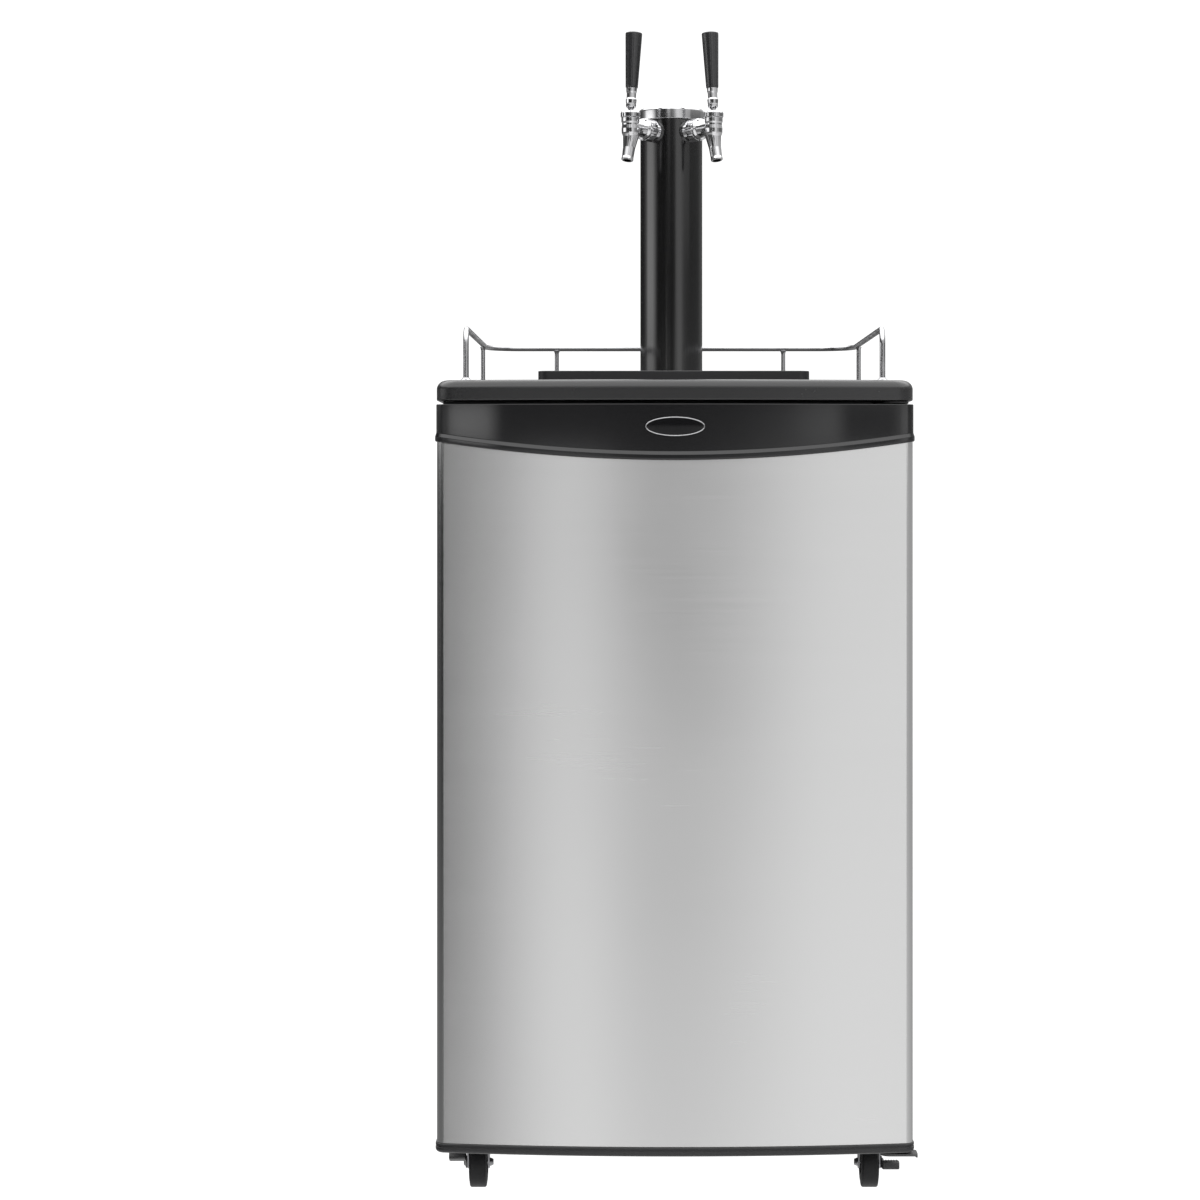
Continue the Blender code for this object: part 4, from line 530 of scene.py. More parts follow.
class Finishes:
    """The cooler's finishes, each a Principled material that shares the effects above."""

    def __init__(self):
        self.lines = brushed_lines_group()
        self.grain = moulded_grain_group()
        self.handling = handling_group()
        self.rub = edge_rub_group()

    def start(self, name, colour, roughness, metallic, **sockets):
        material = bpy.data.materials.new(name)
        material.use_nodes = True
        tree = material.node_tree
        shader = tree.nodes["Principled BSDF"]
        shader.inputs["Metallic"].default_value = metallic
        for label, value in sockets.items():
            shader.inputs[label.replace("_", " ")].default_value = value
        material.diffuse_color = (*colour[:3], 1.0)
        FINISH[name] = material
        return tree, shader, node(tree, "ShaderNodeTexCoord").outputs["Object"]

    def use(self, tree, group, **inputs):
        return node(tree, "ShaderNodeGroup", inputs, node_tree=group)

    def mix(self, tree, factor, first, second):
        """One colour blended into another by a factor; each is a socket or three values."""
        first, second = [value if hasattr(value, "is_output") else (*value[:3], 1.0)
                         for value in (first, second)]
        return node(tree, "ShaderNodeMix", {"A": first, "B": second, "Factor": factor},
                    data_type="RGBA").outputs["Result"]

    def shade(self, tree, shader, colour, factor, low_share, high_share):
        """Feeds Base Color with the colour made darker and lighter by a factor."""
        dark, light = [[min(c * part, 1.0) for c in colour[:3]] for part in (low_share, high_share)]
        shaded = self.mix(tree, factor, dark, light)
        tree.links.new(shaded, shader.inputs["Base Color"])
        return shaded

    def vary(self, tree, shader, factor, low_value, high_value):
        """Feeds Roughness with a value that runs between two limits."""
        inputs = {"From Min": 0.25, "From Max": 0.75, "To Min": low_value, "To Max": high_value,
                  "Value": factor}
        tree.links.new(node(tree, "ShaderNodeMapRange", inputs).outputs[0], shader.inputs["Roughness"])

    def relief(self, tree, shader, height, strength, distance):
        if strength > 0:
            bump = node(tree, "ShaderNodeBump", {"Strength": strength, "Distance": distance, "Height": height})
            tree.links.new(bump.outputs["Normal"], shader.inputs["Normal"])

    def brushed(self, name, colour, roughness, across, along, contrast, density, length, anisotropy, relief):
        """Metal with a brushed grain that runs along one direction."""
        tree, shader, place = self.start(name, colour, roughness, 1.0, Anisotropic=anisotropy,
                                         Anisotropic_Rotation=0.25)
        lines = self.use(tree, self.lines, Vector=place, Across=across, Along=along, Density=density,
                         Length=length).outputs["Lines"]
        cloud = self.use(tree, self.handling, Vector=place, Size=4.0, Dust=0.05).outputs["Smear"]
        self.shade(tree, shader, colour, lines, 1 - contrast, 1 + contrast)
        wear = math_node(tree, "MULTIPLY", cloud, 0.5)
        both = math_node(tree, "ADD", math_node(tree, "MULTIPLY", lines, 0.5), wear)
        self.vary(tree, shader, both, roughness * 0.86, roughness * 1.16)
        self.relief(tree, shader, lines, relief, 0.0001)

    def smeared(self, name, colour, roughness, metallic, size, tones, sheens, **sockets):
        """A finish whose colour and sheen only vary with handling."""
        tree, shader, place = self.start(name, colour, roughness, metallic, **sockets)
        cloud = self.use(tree, self.handling, Vector=place, Size=size, Dust=0.1).outputs["Smear"]
        self.shade(tree, shader, colour, cloud, *tones)
        self.vary(tree, shader, cloud, *[roughness * part for part in sheens])

    def polished(self, name, colour, roughness):
        """Plated or polished metal with faint uneven sheen."""
        self.smeared(name, colour, roughness, 1.0, 34.0, (0.93, 1.04), (0.5, 1.8))

    def clear_hose(self, name, colour, roughness):
        """Milky hose that lets some light through."""
        self.smeared(name, colour, roughness, 0.0, 40.0, (0.92, 1.05), (0.8, 1.2), Transmission_Weight=0.35,
                     IOR=1.43, Subsurface_Weight=0.2)

    def painted(self, name, colour, roughness, density=420.0, relief=0.12, coat=0.0, dust=0.1, rub=0.15,
                size=5.0, spread=0.12, specular=0.5):
        """Paint, enamel or moulded plastic with its own grain, sheen, dust and rubbed edges."""
        tree, shader, place = self.start(name, colour, roughness, 0.0, Coat_Weight=coat, Coat_Roughness=0.06,
                                         Specular_IOR_Level=specular)
        grain = self.use(tree, self.grain, Vector=place, Density=density)
        cloud = self.use(tree, self.handling, Vector=place, Size=size, Dust=dust)
        edge = self.use(tree, self.rub, Amount=rub)
        base = self.shade(tree, shader, colour, cloud.outputs["Smear"], 0.90, 1.12)
        dusty = self.mix(tree, cloud.outputs["Dust"], base, (0.42, 0.41, 0.39))
        worn = [min(c * 1.7 + 0.05, 1.0) for c in colour[:3]]
        tree.links.new(self.mix(tree, edge.outputs["Mask"], dusty, worn), shader.inputs["Base Color"])
        mixed = math_node(tree, "ADD", math_node(tree, "MULTIPLY", cloud.outputs["Smear"], 0.7),
                          math_node(tree, "MULTIPLY", grain.outputs["Mask"], 0.3))
        self.vary(tree, shader, mixed, roughness * (1 - spread), roughness * (1 + spread))
        self.relief(tree, shader, grain.outputs["Height"], relief, 0.00012)


def finish(name):
    """A finish by name; the finishes are made before the first piece."""
    if name not in FINISH:
        raise RuntimeError(f"finish {name} isn't made yet")
    return FINISH[name]


# Settings that a user would change

def amount(name, description, default, **more):
    return FloatProperty(name=name, description=description, default=default, min=0.0, **more)


def length(name, description, default):
    return amount(name, description, default, precision=4, subtype="DISTANCE", unit="LENGTH")


def share(name, description, default):
    return amount(name, description, default, max=1.0, subtype="FACTOR")


def number(name, description, default, least, most):
    return IntProperty(name=name, description=description, default=default, min=least, max=most)


def colour(name, description, default):
    return FloatVectorProperty(name=name, description=description, default=default, size=3, min=0.0, max=1.0,
                               subtype="COLOR")


class CabinetSettings(bpy.types.PropertyGroup):
    paint: colour("Paint", "Colour of the painted steel cabinet", (0.020, 0.020, 0.021))
    fold: length("Fold radius", "Radius of the folds along the cabinet's sheet edges", 0.0016)
    liner_bend: length("Liner bend", "Radius of the moulded liner's inner corners", 0.016)
    liner: colour("Liner", "Colour of the moulded liner", (0.74, 0.75, 0.74))
    screw: length("Panel screw", "Radius of the rear panel's screw heads", 0.0042)
    panel_screws: number("Screws per side", "Screws down each side of the rear panel", 4, 2, 8)


class WorktopSettings(bpy.types.PropertyGroup):
    tone: colour("Tone", "Colour of the moulded worktop", (0.014, 0.014, 0.0145))
    top_edge: length("Upper edge", "Radius of the worktop's upper edge", 0.0105)
    lower_edge: length("Lower edge", "Radius of the worktop's lower edge", 0.0015)
    corner: length("Corner", "Radius of the worktop's corners seen from above", 0.022)
    bow: length("Bow", "How far the front edge bows forward at its middle", 0.020)
    grain: length("Grain", "Size of the moulded grain", 0.0016)


class RailSettings(bpy.types.PropertyGroup):
    rod: length("Rod radius", "Radius of the bent rail", 0.00325)
    post: length("Post radius", "Radius of the welded posts", 0.00275)
    foot: length("Foot radius", "Radius of the foot caps on the worktop", 0.0070)
    weld: length("Weld", "Size of the weld bead where a post meets the rail", 0.0011)


class TraySettings(bpy.types.PropertyGroup):
    slot: length("Slot width", "Width of each slot in the grate", 0.0060)
    slots: number("Slots", "Slots in each row of the grate", 15, 4, 30)
    rim: length("Rim radius", "Radius of the tray's rim", 0.0009)


class TowerSettings(bpy.types.PropertyGroup):
    enamel: colour("Enamel", "Colour of the tower's gloss enamel", (0.003, 0.003, 0.0032))
    screw: length("Flange screw", "Radius of the flange screws", 0.0040)
    screws: number("Flange screws", "Screws round the tower's flange", 4, 3, 8)
    cap_edge: length("Cap edge", "Radius of the cap's upper edge", 0.0040)


class TapSettings(bpy.types.PropertyGroup):
    handle: colour("Handle", "Colour of the tap handles", (0.014, 0.014, 0.015))
    chrome: colour("Chrome", "Colour of the chrome plate", (0.66, 0.66, 0.67))
    notch: length("Ring notch", "Depth of the grip notches in the coupling nut and bonnet", 0.0011)
    edge: length("Edge", "Radius of the turned chrome edges", 0.0007)


class DoorSettings(bpy.types.PropertyGroup):
    steel: colour("Steel", "Colour of the brushed stainless skin", (0.62, 0.62, 0.62))
    brushing: share("Brushing", "Contrast of the brushed grain", 0.02)
    bow: length("Bow", "How far the door bows forward at its middle", 0.020)
    edge: length("Edge", "Radius of the skin's rolled vertical edges", 0.010)
    strip: colour("Strip", "Colour of the gloss black strip", (0.005, 0.005, 0.0055))
    strip_side: length("Strip height", "Height of the black strip at the door's sides", 0.041)
    strip_sag: length("Strip sag", "How far the strip's lower edge dips at its middle", 0.0205)
    lip: length("Lip height", "Height of the raised lip along the strip", 0.0095)
    lip_rise: length("Lip rise", "How far the lip stands proud of the skin", 0.0022)
    gasket: colour("Gasket", "Colour of the magnetic gasket", (0.24, 0.24, 0.25))


class MachinerySettings(bpy.types.PropertyGroup):
    pot: colour("Compressor", "Colour of the compressor's enamel", (0.018, 0.018, 0.019))
    copper: colour("Copper", "Colour of the copper pipes", (0.82, 0.42, 0.27))
    pipe: length("Pipe radius", "Radius of the copper pipes", 0.0030)
    wires: number("Wires", "Cross wires on each face of the condenser", 30, 7, 60)


class CasterSettings(bpy.types.PropertyGroup):
    tyre: colour("Wheel", "Colour of the moulded wheels", (0.011, 0.011, 0.012))
    plate: colour("Fork", "Colour of the zinc plated forks", (0.26, 0.26, 0.27))
    ribs: number("Ribs", "Ribs on each face of a wheel's hub", 6, 3, 12)


class StageSettings(bpy.types.PropertyGroup):
    distance: length("Camera distance", "Distance of the camera in front of the door's side edges", 3.10)
    height: length("Camera height", "Height of the level camera above the floor", 0.787)
    offset: FloatProperty(name="Camera offset",
                          description="How far the camera stands to the right of the middle", default=-0.0385,
                          subtype="DISTANCE", unit="LENGTH")
    lens: FloatProperty(name="Lens", description="Focal length", default=84.5, min=10.0,
                        subtype="DISTANCE_CAMERA")
    floor: colour("Floor", "Colour of the studio floor", (0.90, 0.90, 0.90))
    backdrop: amount("Backdrop", "Brightness of the white background", 1.15)
    key: amount("Key light", "Power of the large soft light", 4.0, unit="POWER")
    overhead: amount("Overhead light", "Brightness of the overhead soft light", 2.6)
    floor_glow: amount("Floor glow", "Brightness of the pale floor in reflections", 1.12)
    room: amount("Room light", "Brightness of the studio round the cooler", 1.0)


# Cabinet and what it holds

CAVITY_HALF = 0.220
CAVITY_FLOOR = 0.116
CAVITY_CEILING = 0.843
CAVITY_REAR = 0.252
STEP_FACE = 0.183
STEP_TOP = 0.308
MACHINE_FACE = 0.213
MACHINE_TOP = 0.278
LINE_HOLE = 0.030
LINER_WALL = 0.0015
RIVET_SHIFT = 0.0165
CHANNEL_FLATNESS = 0.42


def compartment(bm, grown, front, bend):
    """The keg compartment's space with its rear step, its corners rounded like a moulding."""
    floor, ceiling = CAVITY_FLOOR - grown, CAVITY_CEILING + grown
    profile = [(front, floor), (STEP_FACE + grown, floor), (STEP_FACE + grown, STEP_TOP - grown),
               (CAVITY_REAR + grown, STEP_TOP - grown), (CAVITY_REAR + grown, ceiling), (front, ceiling)]
    across_x(bm, profile, -CAVITY_HALF - grown, CAVITY_HALF + grown)
    ledge = Vector((STEP_FACE + grown, STEP_TOP - grown))
    inside = [edge for edge in bm.edges if max(vert.co.y for vert in edge.verts) > front + 0.001
              and any((vert.co.yz - ledge).length > 0.0001 for vert in edge.verts)]
    bmesh.ops.bevel(bm, geom=inside, offset=bend, offset_type="OFFSET", segments=5, profile=0.5, affect="EDGES",
                    clamp_overlap=True)


def line_hole(base, top):
    """The hole for the beer lines under the tower."""
    return shape(bar, LINE_HOLE, (0, TOWER_AXIS.y, base), (0, TOWER_AXIS.y, top), 64)


class KEGCOOLER_OT_cabinet(bpy.types.Operator):
    """Builds the cabinet: steel shell, base, rear panel, foam and the lining of the machine space"""

    bl_idname = "kegcooler.cabinet"
    bl_label = "Cabinet"

    def execute(self, context):
        settings = context.scene.keg_cabinet
        paint = "cabinet paint"
        sheet, base, fold = 0.0010, BODY_BASE + 0.0023, settings.fold
        inner, ceiling, bend = BODY_HALF - sheet, BODY_TOP - sheet, fold - sheet * 0.5
        outline = [
            *eased([(-BODY_HALF, base), (-BODY_HALF, BODY_TOP), (BODY_HALF, BODY_TOP), (BODY_HALF, base)],
                   [0, fold, fold, 0], 5),
            *eased([(inner, base), (inner, ceiling), (-inner, ceiling), (-inner, base)], [0, bend, bend, 0], 5),
        ]
        wrap = shape(along_y, outline, BODY_FRONT, BODY_REAR)
        hole = line_hole(CAVITY_CEILING - OVERRUN, BODY_TOP + OVERRUN)
        piece("cabinet_wrap", carved(wrap, cut=[hole]), paint, ["cabinet_shell"], edge=0.0003)
        refinish("base_frame", paint, edge=0.0006)
        bm = bmesh.new()
        for caster_y in dict(CASTER_Y).values():
            for side in (-1, 1):
                for dx, dy in FOUR_CORNERS:
                    x, y = side * CASTER_X + dx * RIVET_SHIFT, caster_y + dy * RIVET_SHIFT
                    bar(bm, 0.0030, (x, y, BODY_BASE - 0.0034), (x, y, BODY_BASE + 0.0005), 24, 0.0007)
        piece("caster_plate_rivets", bm, "zinc")

        corner, opposite = ends_of("rear_panel")
        piece("rear_sheet", shape(box, corner, opposite), paint, ["rear_panel"], edge=0.0003)
        bm = bmesh.new()
        rib_half, rib_end = 0.0045, 0.014
        for side in (-1, 1):
            x = side * (opposite.x - 0.012)
            rib = eased([(x - rib_half, corner.z + rib_end), (x + rib_half, corner.z + rib_end),
                         (x + rib_half, opposite.z - rib_end), (x - rib_half, opposite.z - rib_end)],
                        0.0044, 6, closed=True)
            loft(bm, [[(p.x - side * shift, opposite.y + out, p.y) for p in rib]
                      for shift, out in ((0, -0.0003), (0, 0.0006), (0.0008, 0.0010))])
        piece("rear_sheet_ribs", bm, paint, crease=60)
        count, margin, face = settings.panel_screws, 0.030, opposite.y - 0.0002
        span = opposite.z - corner.z - 2 * margin
        spots = [(side * (opposite.x - 0.024), face, corner.z + margin + span * k / (count - 1))
                 for k in range(count) for side in (-1, 1)]
        spots += [(x, face, opposite.z - 0.010) for x in (-0.12, 0.0, 0.12)]
        screws("rear_screws", spots, (0, 1, 0), settings.screw, 0.0022)

        refinish("insulation_foam", "foam", edge=0.0)
        thin, clear, half = 0.0006, 0.0001, BODY_HALF - 0.0014
        bm = bmesh.new()
        box(bm, (-half, MACHINE_FACE + clear, BODY_BASE + 0.0022),
            (half, MACHINE_FACE + thin, MACHINE_TOP - clear))
        box(bm, (-half, MACHINE_FACE + clear, MACHINE_TOP - thin),
            (half, BODY_REAR - 0.0014, MACHINE_TOP - clear))
        piece("machine_space_lining", bm, "galvanised")
        return {"FINISHED"}


class KEGCOOLER_OT_interior(bpy.types.Operator):
    """Builds the moulded liner, floor plate, evaporator plate, thermostat, beer lines and their clip"""

    bl_idname = "kegcooler.interior"
    bl_label = "Interior"

    def execute(self, context):
        corner, opposite = ends_of("inner_liner")
        bend = context.scene.keg_cabinet.liner_bend
        flange = shape(box, (corner.x, BODY_FRONT, corner.z), (opposite.x, BODY_FRONT + LINER_WALL, opposite.z))
        tub = shape(compartment, LINER_WALL, BODY_FRONT + LINER_WALL / 2, bend)
        hollow = shape(compartment, 0, BODY_FRONT - 0.004, bend - LINER_WALL)
        hole = line_hole(CAVITY_CEILING - OVERRUN, BODY_TOP + OVERRUN)
        piece("compartment_liner", carved(flange, joined=[tub], cut=[hollow, hole]), "liner white",
              ["inner_liner"], crease=32)

        centre, half, margin = middle("keg_floor_plate"), half_size("keg_floor_plate"), 0.020
        holes = [circle(0.0045, 28, (sx * (half.x - margin), centre.y + sy * (half.y - margin)))
                 for sx, sy in FOUR_CORNERS]
        plate = shape(sheet_with_holes, footprint("keg_floor_plate", "xy", 0.010), holes,
                      low("keg_floor_plate").z, high("keg_floor_plate").z)
        piece("compartment_floor", plate, "galvanised", ["keg_floor_plate"], edge=0.0003)

        corner, opposite = ends_of("evaporator_plate")
        plate = shape(along_y, footprint("evaporator_plate", "xz", 0.012), corner.y, opposite.y)
        piece("cooling_plate", plate, "aluminium", ["evaporator_plate"], edge=0.0003)
        lanes, margin, reach = 6, 0.025, 0.145
        lane = (opposite.z - corner.z - 2 * margin) / lanes
        turns = [(x, corner.y, corner.z + margin + lane * k) for k in range(lanes + 1)
                 for x in ((-reach, reach) if k % 2 == 0 else (reach, -reach))]
        bm = bmesh.new()
        for vert in wire(bm, eased(turns, lane * 0.48, 8), 0.0034, 16):
            vert.co.y = corner.y + (vert.co.y - corner.y) * CHANNEL_FLATNESS
        piece("cooling_channel", bm, "aluminium")
        spots = [(x, corner.y + 0.0001, z) for x in (-0.160, 0.160)
                 for z in (corner.z + 0.010, opposite.z - 0.010)]
        screws("cooling_plate_screws", spots, (0, -1, 0), 0.0038, 0.0020)
        self.thermostat()
        self.lines()
        return {"FINISHED"}

    def thermostat(self):
        corner, hub = low("thermostat_housing"), middle("thermostat_housing")
        hub.x = corner.x
        rings = [[(x, hub.y + (y - hub.y) * (1 - shrink / 0.05), hub.z + (z - hub.z) * (1 - shrink / 0.03))
                  for y, z in footprint("thermostat_housing", "yz", 0.008)]
                 for shrink, x in ((0.0032, corner.x), (0.0010, corner.x + 0.0010), (0.0, corner.x + 0.0034),
                                   (0.0, high("thermostat_housing").x))]
        pin = shape(bar, 0.0040, hub - Vector((0.004, 0, 0)), hub + Vector((0.0085, 0, 0)), 32)
        piece("thermostat_case", carved(shape(loft, rings), cut=[pin]), "liner white", ["thermostat_housing"],
              crease=50)
        bm = bmesh.new()
        for k in range(11):
            angle = radians(-150 + 30 * k)
            ends = [hub + Vector((0.0002, sin(angle) * reach, cos(angle) * reach))
                    for reach in (0.0195, 0.0215 if k % 5 else 0.0228)]
            bar(bm, 0.0005, *ends, 10)
        piece("thermostat_ticks", bm, "door black")
        face = low("thermostat_knob").x
        depth = corner.x - face
        sides, teeth = 120, 20

        def grip(i, wide, height):
            if height <= 0.0050 or wide <= 0.0125:
                return 1
            return 1 - 0.035 * (0.5 + 0.5 * cos(teeth * 2 * pi * i / sides))

        knob = lathe([(0, -0.008), (0.0032, -0.008), (0.0032, SEAT), (0.0170, SEAT), (0.0170, 0.0040),
                      (0.0140, 0.0056), (0.0136, depth), (0, depth)],
                     [0, 0.0006, 0.0001, 0.0006, 0.0010, 0.0010, 0.0012, 0], 5, sides, facing(hub, (-1, 0, 0)),
                     scallop=grip)
        piece("thermostat_dial", knob, "door black", ["thermostat_knob"], body="knob", crease=50)
        bm = shape(box, (face - 0.0002, hub.y - 0.0006, hub.z + 0.004),
                   (face + 0.0006, hub.y + 0.0006, hub.z + 0.0125))
        piece("thermostat_pointer", bm, "liner white", body="knob")

    def lines(self):
        radius, ceiling, rear_y, end_z, spread = 0.00475, 0.82625, 0.24445, 0.418, 0.030
        for name, side in SIDES:
            top = tap_point(side, 0.0175, -0.016 - SEAT)
            corners = [top, (top.x, top.y, ceiling), (side * spread, rear_y, ceiling),
                       (side * spread, rear_y, end_z)]
            hose = shape(wire, eased(corners, [0, 0.040, 0.040, 0], 14), radius, 24)
            piece(f"hose_{name}", hose, "hose", [f"beer_line_{name}"])
            nut = lathe([(0.0046, 0), (0.0135, 0), (0.0135, 0.0116), (0.0100, 0.0120), (0.0046, 0.0120)],
                        [0, 0.0010, 0.0010, 0.0005, 0], 4, 6,
                        Matrix.Translation((side * spread, rear_y - 0.006, end_z - 0.0001)), True)
            piece(f"hose_nut_{name}", nut, "chrome", edge=0.0005)
        refinish("line_clip", "liner white", edge=0.0006)


# Cooling machinery

class KEGCOOLER_OT_machinery(bpy.types.Operator):
    """Builds the compressor on its mounts, copper pipes, condenser grid, drain pan and mains inlet"""

    bl_idname = "kegcooler.machinery"
    bl_label = "Machinery"

    def execute(self, context):
        settings = context.scene.keg_machinery
        self.compressor(settings)
        self.condenser(settings, frame_box[1][1])
        corner, opposite = ends_of("drain_pan")
        section = eased([(0.0100, corner.z), (0, corner.z), (0, opposite.z), (0.0020, opposite.z),
                         (0.0022, corner.z + 0.0020), (0.0120, corner.z + 0.0020)],
                        [0, 0.0016, 0.0008, 0.0008, 0.0012, 0], 4)
        dish = shape(loft, [[(x, y, p.y) for x, y in footprint("drain_pan", "xy", max(0.009 - p.x, 0.002), p.x)]
                            for p in section])
        piece("drain_dish", dish, "tray black", ["drain_pan"], crease=50)

        hub = middle("mains_inlet")
        hub.y = low("mains_inlet").y + 0.0015
        plate = shape(along_y, footprint("mains_inlet", "xz", 0.005, steps=5), low("mains_inlet").y, hub.y)
        gland = lathe([(0, -0.0006), (0.0117, -0.0006), (0.0117, 0.0035), (0.0090, 0.0042), (0.0064, 0.0138),
                       (0, 0.0140)], [0, 0, 0.0008, 0.0006, 0.0010, 0], 5, 48, facing(hub, (0, 1, 0)))
        bore = shape(bar, 0.0035, hub + Vector((0, 0.0120, 0)), hub + Vector((0, 0.020, 0)), 24)
        piece("mains_gland_plate", carved(plate, joined=[gland], cut=[bore]), "door black", ["mains_inlet"],
              crease=40)
        spots = [(hub.x + dx * 0.023, hub.y - 0.0001, hub.z + dz * 0.033) for dx, dz in FOUR_CORNERS]
        screws("mains_plate_screws", spots, (0, 1, 0), 0.0034, 0.0018)
        return {"FINISHED"}

    def compressor(self, settings):
        corner, opposite = ends_of("compressor")
        hub_x, hub_y = -0.060, (corner.y + opposite.y) / 2
        half_x, half_y = 0.075, (opposite.y - corner.y) / 2
        foot_z = corner.z + 0.016
        rise, seat = opposite.z - foot_z - 0.00125, foot_z + 0.00125
        rows = [(0.84, 0.0), (0.93, 0.03), (0.975, 0.10), (0.985, 0.20), (0.985, 0.475), (1.0, 0.482),
                (1.0, 0.512), (0.985, 0.519), (0.980, 0.60), (0.955, 0.70), (0.90, 0.79), (0.81, 0.87),
                (0.66, 0.94), (0.46, 0.98), (0.22, 0.997)]
        rings = [[(hub_x + x * half_x, hub_y + y * half_y, seat + rise * up) for x, y in circle(wide, 96)]
                 for wide, up in rows]
        rings.append([(hub_x, hub_y, seat + rise)])
        piece("compressor_pot", shape(loft, rings), "machine enamel", ["compressor"], slot="black_enamel",
              crease=34)
        foot = shape(raised, oblong(0.100, half_y, 0.010, (hub_x, hub_y), 8), foot_z, foot_z + 0.0025)
        piece("compressor_foot_plate", foot, "machine enamel", ["compressor"], edge=0.0006)
        mounts, bolts = bmesh.new(), bmesh.new()
        mount = eased([(0, 0), (0.0100, 0), (0.0082, 0.006), (0.0100, 0.016), (0.0068, 0.0160),
                       (0.0068, 0.0200), (0, 0.0200)], [0, 0.0008, 0.0030, 0.0008, 0, 0.0010, 0], 5)
        bolt = eased([(0, 0.0199), (0.0050, 0.0199), (0.0050, 0.0225), (0, 0.0225)], [0, 0.0002, 0.0006, 0], 3)
        for sx, sy in FOUR_CORNERS:
            place = Matrix.Translation((hub_x + sx * 0.086, hub_y + sy * (half_y - 0.014), corner.z))
            turned(mounts, mount, 40, place)
            turned(bolts, bolt, 6, place)
        piece("compressor_mounts", mounts, "rubber", ["compressor"], crease=50)
        piece("compressor_bolts", bolts, "zinc")
        side, mid_z = hub_x + half_x - 0.004, seat + rise * 0.36
        rings = [[(side + out, hub_y + (y - hub_y) * s, mid_z + (z - mid_z) * s)
                  for y, z in oblong(0.016, 0.024, 0.005, (hub_y, mid_z))]
                 for out, s in ((-0.010, 1.0), (0.011, 1.0), (0.0132, 0.95), (0.0140, 0.86))]
        piece("terminal_cover", shape(loft, rings), "door black", crease=50)

        copper = bmesh.new()
        flow_x, pipe_y = -0.177, high("condenser").y - 0.0048
        outlet, top = seat + rise * 0.60, MACHINE_TOP - 0.0003
        flow = [(hub_x - half_x + 0.010, hub_y + 0.006, outlet), (flow_x, hub_y + 0.006, outlet),
                (flow_x, pipe_y, outlet + 0.058), (flow_x, pipe_y, 0.330), (flow_x + 0.008, pipe_y, 0.338)]
        wire(copper, eased(flow, [0, 0.014, 0.014, 0.004, 0], 8), min(settings.pipe, 0.0024), 18)
        back_x, back_y = hub_x + 0.105, hub_y - 0.020
        back = [(hub_x + 0.052, back_y, seat + rise * 0.76), (back_x, back_y, seat + rise * 0.80),
                (back_x, back_y, top)]
        wire(copper, eased(back, [0, 0.016, 0], 8), settings.pipe, 18)
        stub = [(hub_x - 0.050, hub_y - 0.018, seat + rise * 0.76),
                (hub_x - 0.092, hub_y - 0.018, seat + rise * 0.84)]
        wire(copper, stub, settings.pipe, 18)
        dryer = Vector((-0.214, MACHINE_FACE + 0.016, 0.113))
        fore_y, feed_x, feed_y, feed_z = MACHINE_FACE + 0.012, -0.236, MACHINE_FACE + 0.030, 0.100
        thin = [(dryer.x, fore_y, top), (dryer.x, fore_y, 0.213), (dryer.x, dryer.y, 0.198)]
        wire(copper, eased(thin, 0.004, 5), 0.0012, 12)
        shell = eased([(0, 0), (0.0026, 0), (0.0085, 0.010), (0.0085, 0.074), (0.0018, 0.086), (0, 0.086)],
                      [0, 0.0004, 0.004, 0.004, 0.0004, 0], 5)
        turned(copper, shell, 36, Matrix.Translation(dryer))
        feed = [dryer + Vector((0, 0, 0.002)), (dryer.x, dryer.y, feed_z), (feed_x, feed_y, feed_z),
                (feed_x, feed_y, top)]
        wire(copper, eased(feed, 0.008, 6), 0.0022, 14)
        piece("copper_pipes", copper, "copper")

    def condenser(self, settings, rear_limit):
        middle_y, half, pitch, runs, base = 0.302, 0.210, 0.074, 7, 0.338
        bend, thin, wire_out, overrun = pitch / 2, 0.00065, 0.0026, 0.020
        route = []
        for run in range(runs):
            side = 1 if run % 2 == 0 else -1
            route += [(-side * half, middle_y, base + run * pitch), (side * half, middle_y, base + run * pitch)]
        top = base + (runs - 1) * pitch
        route[0] = (-(half - bend), middle_y, base)
        route[-1] = ((half - bend), middle_y, top)
        tube = shape(wire, eased(route, bend * 0.998, 14), 0.0024, 18)
        piece("condenser_tube", tube, "machine enamel", ["condenser"])
        rear = min(middle_y + wire_out, rear_limit - thin - 0.0001)
        reach = 2 * half - 4 * bend + 0.070
        grid = bmesh.new()
        for k in range(settings.wires):
            x = reach * (k / (settings.wires - 1) - 0.5)
            for y in (middle_y - wire_out, rear):
                bar(grid, thin, (x, y, base - overrun), (x, y, top + overrun), 8)
        piece("condenser_wires", grid, "machine enamel", ["condenser"])
        mounts = bmesh.new()
        for side in (-1, 1):
            for z in (base, top):
                block = oblong(0.006, 0.007, 0.002, (side * (half - 2 * bend), z), 4)
                along_y(mounts, block, BODY_REAR + SEAT, middle_y)
        piece("condenser_mounts", mounts, "door black", ["condenser"], crease=50)


# Casters

CASTER_Y = (("front", -0.198), ("rear", 0.248))
CASTER_X = 0.222
TRAIL = 0.015
WHEEL = 0.0280
PEDAL_ROOM = 0.0021


def brake_lift(side):
    return radians(28.0) if side < 0 else radians(5.6)


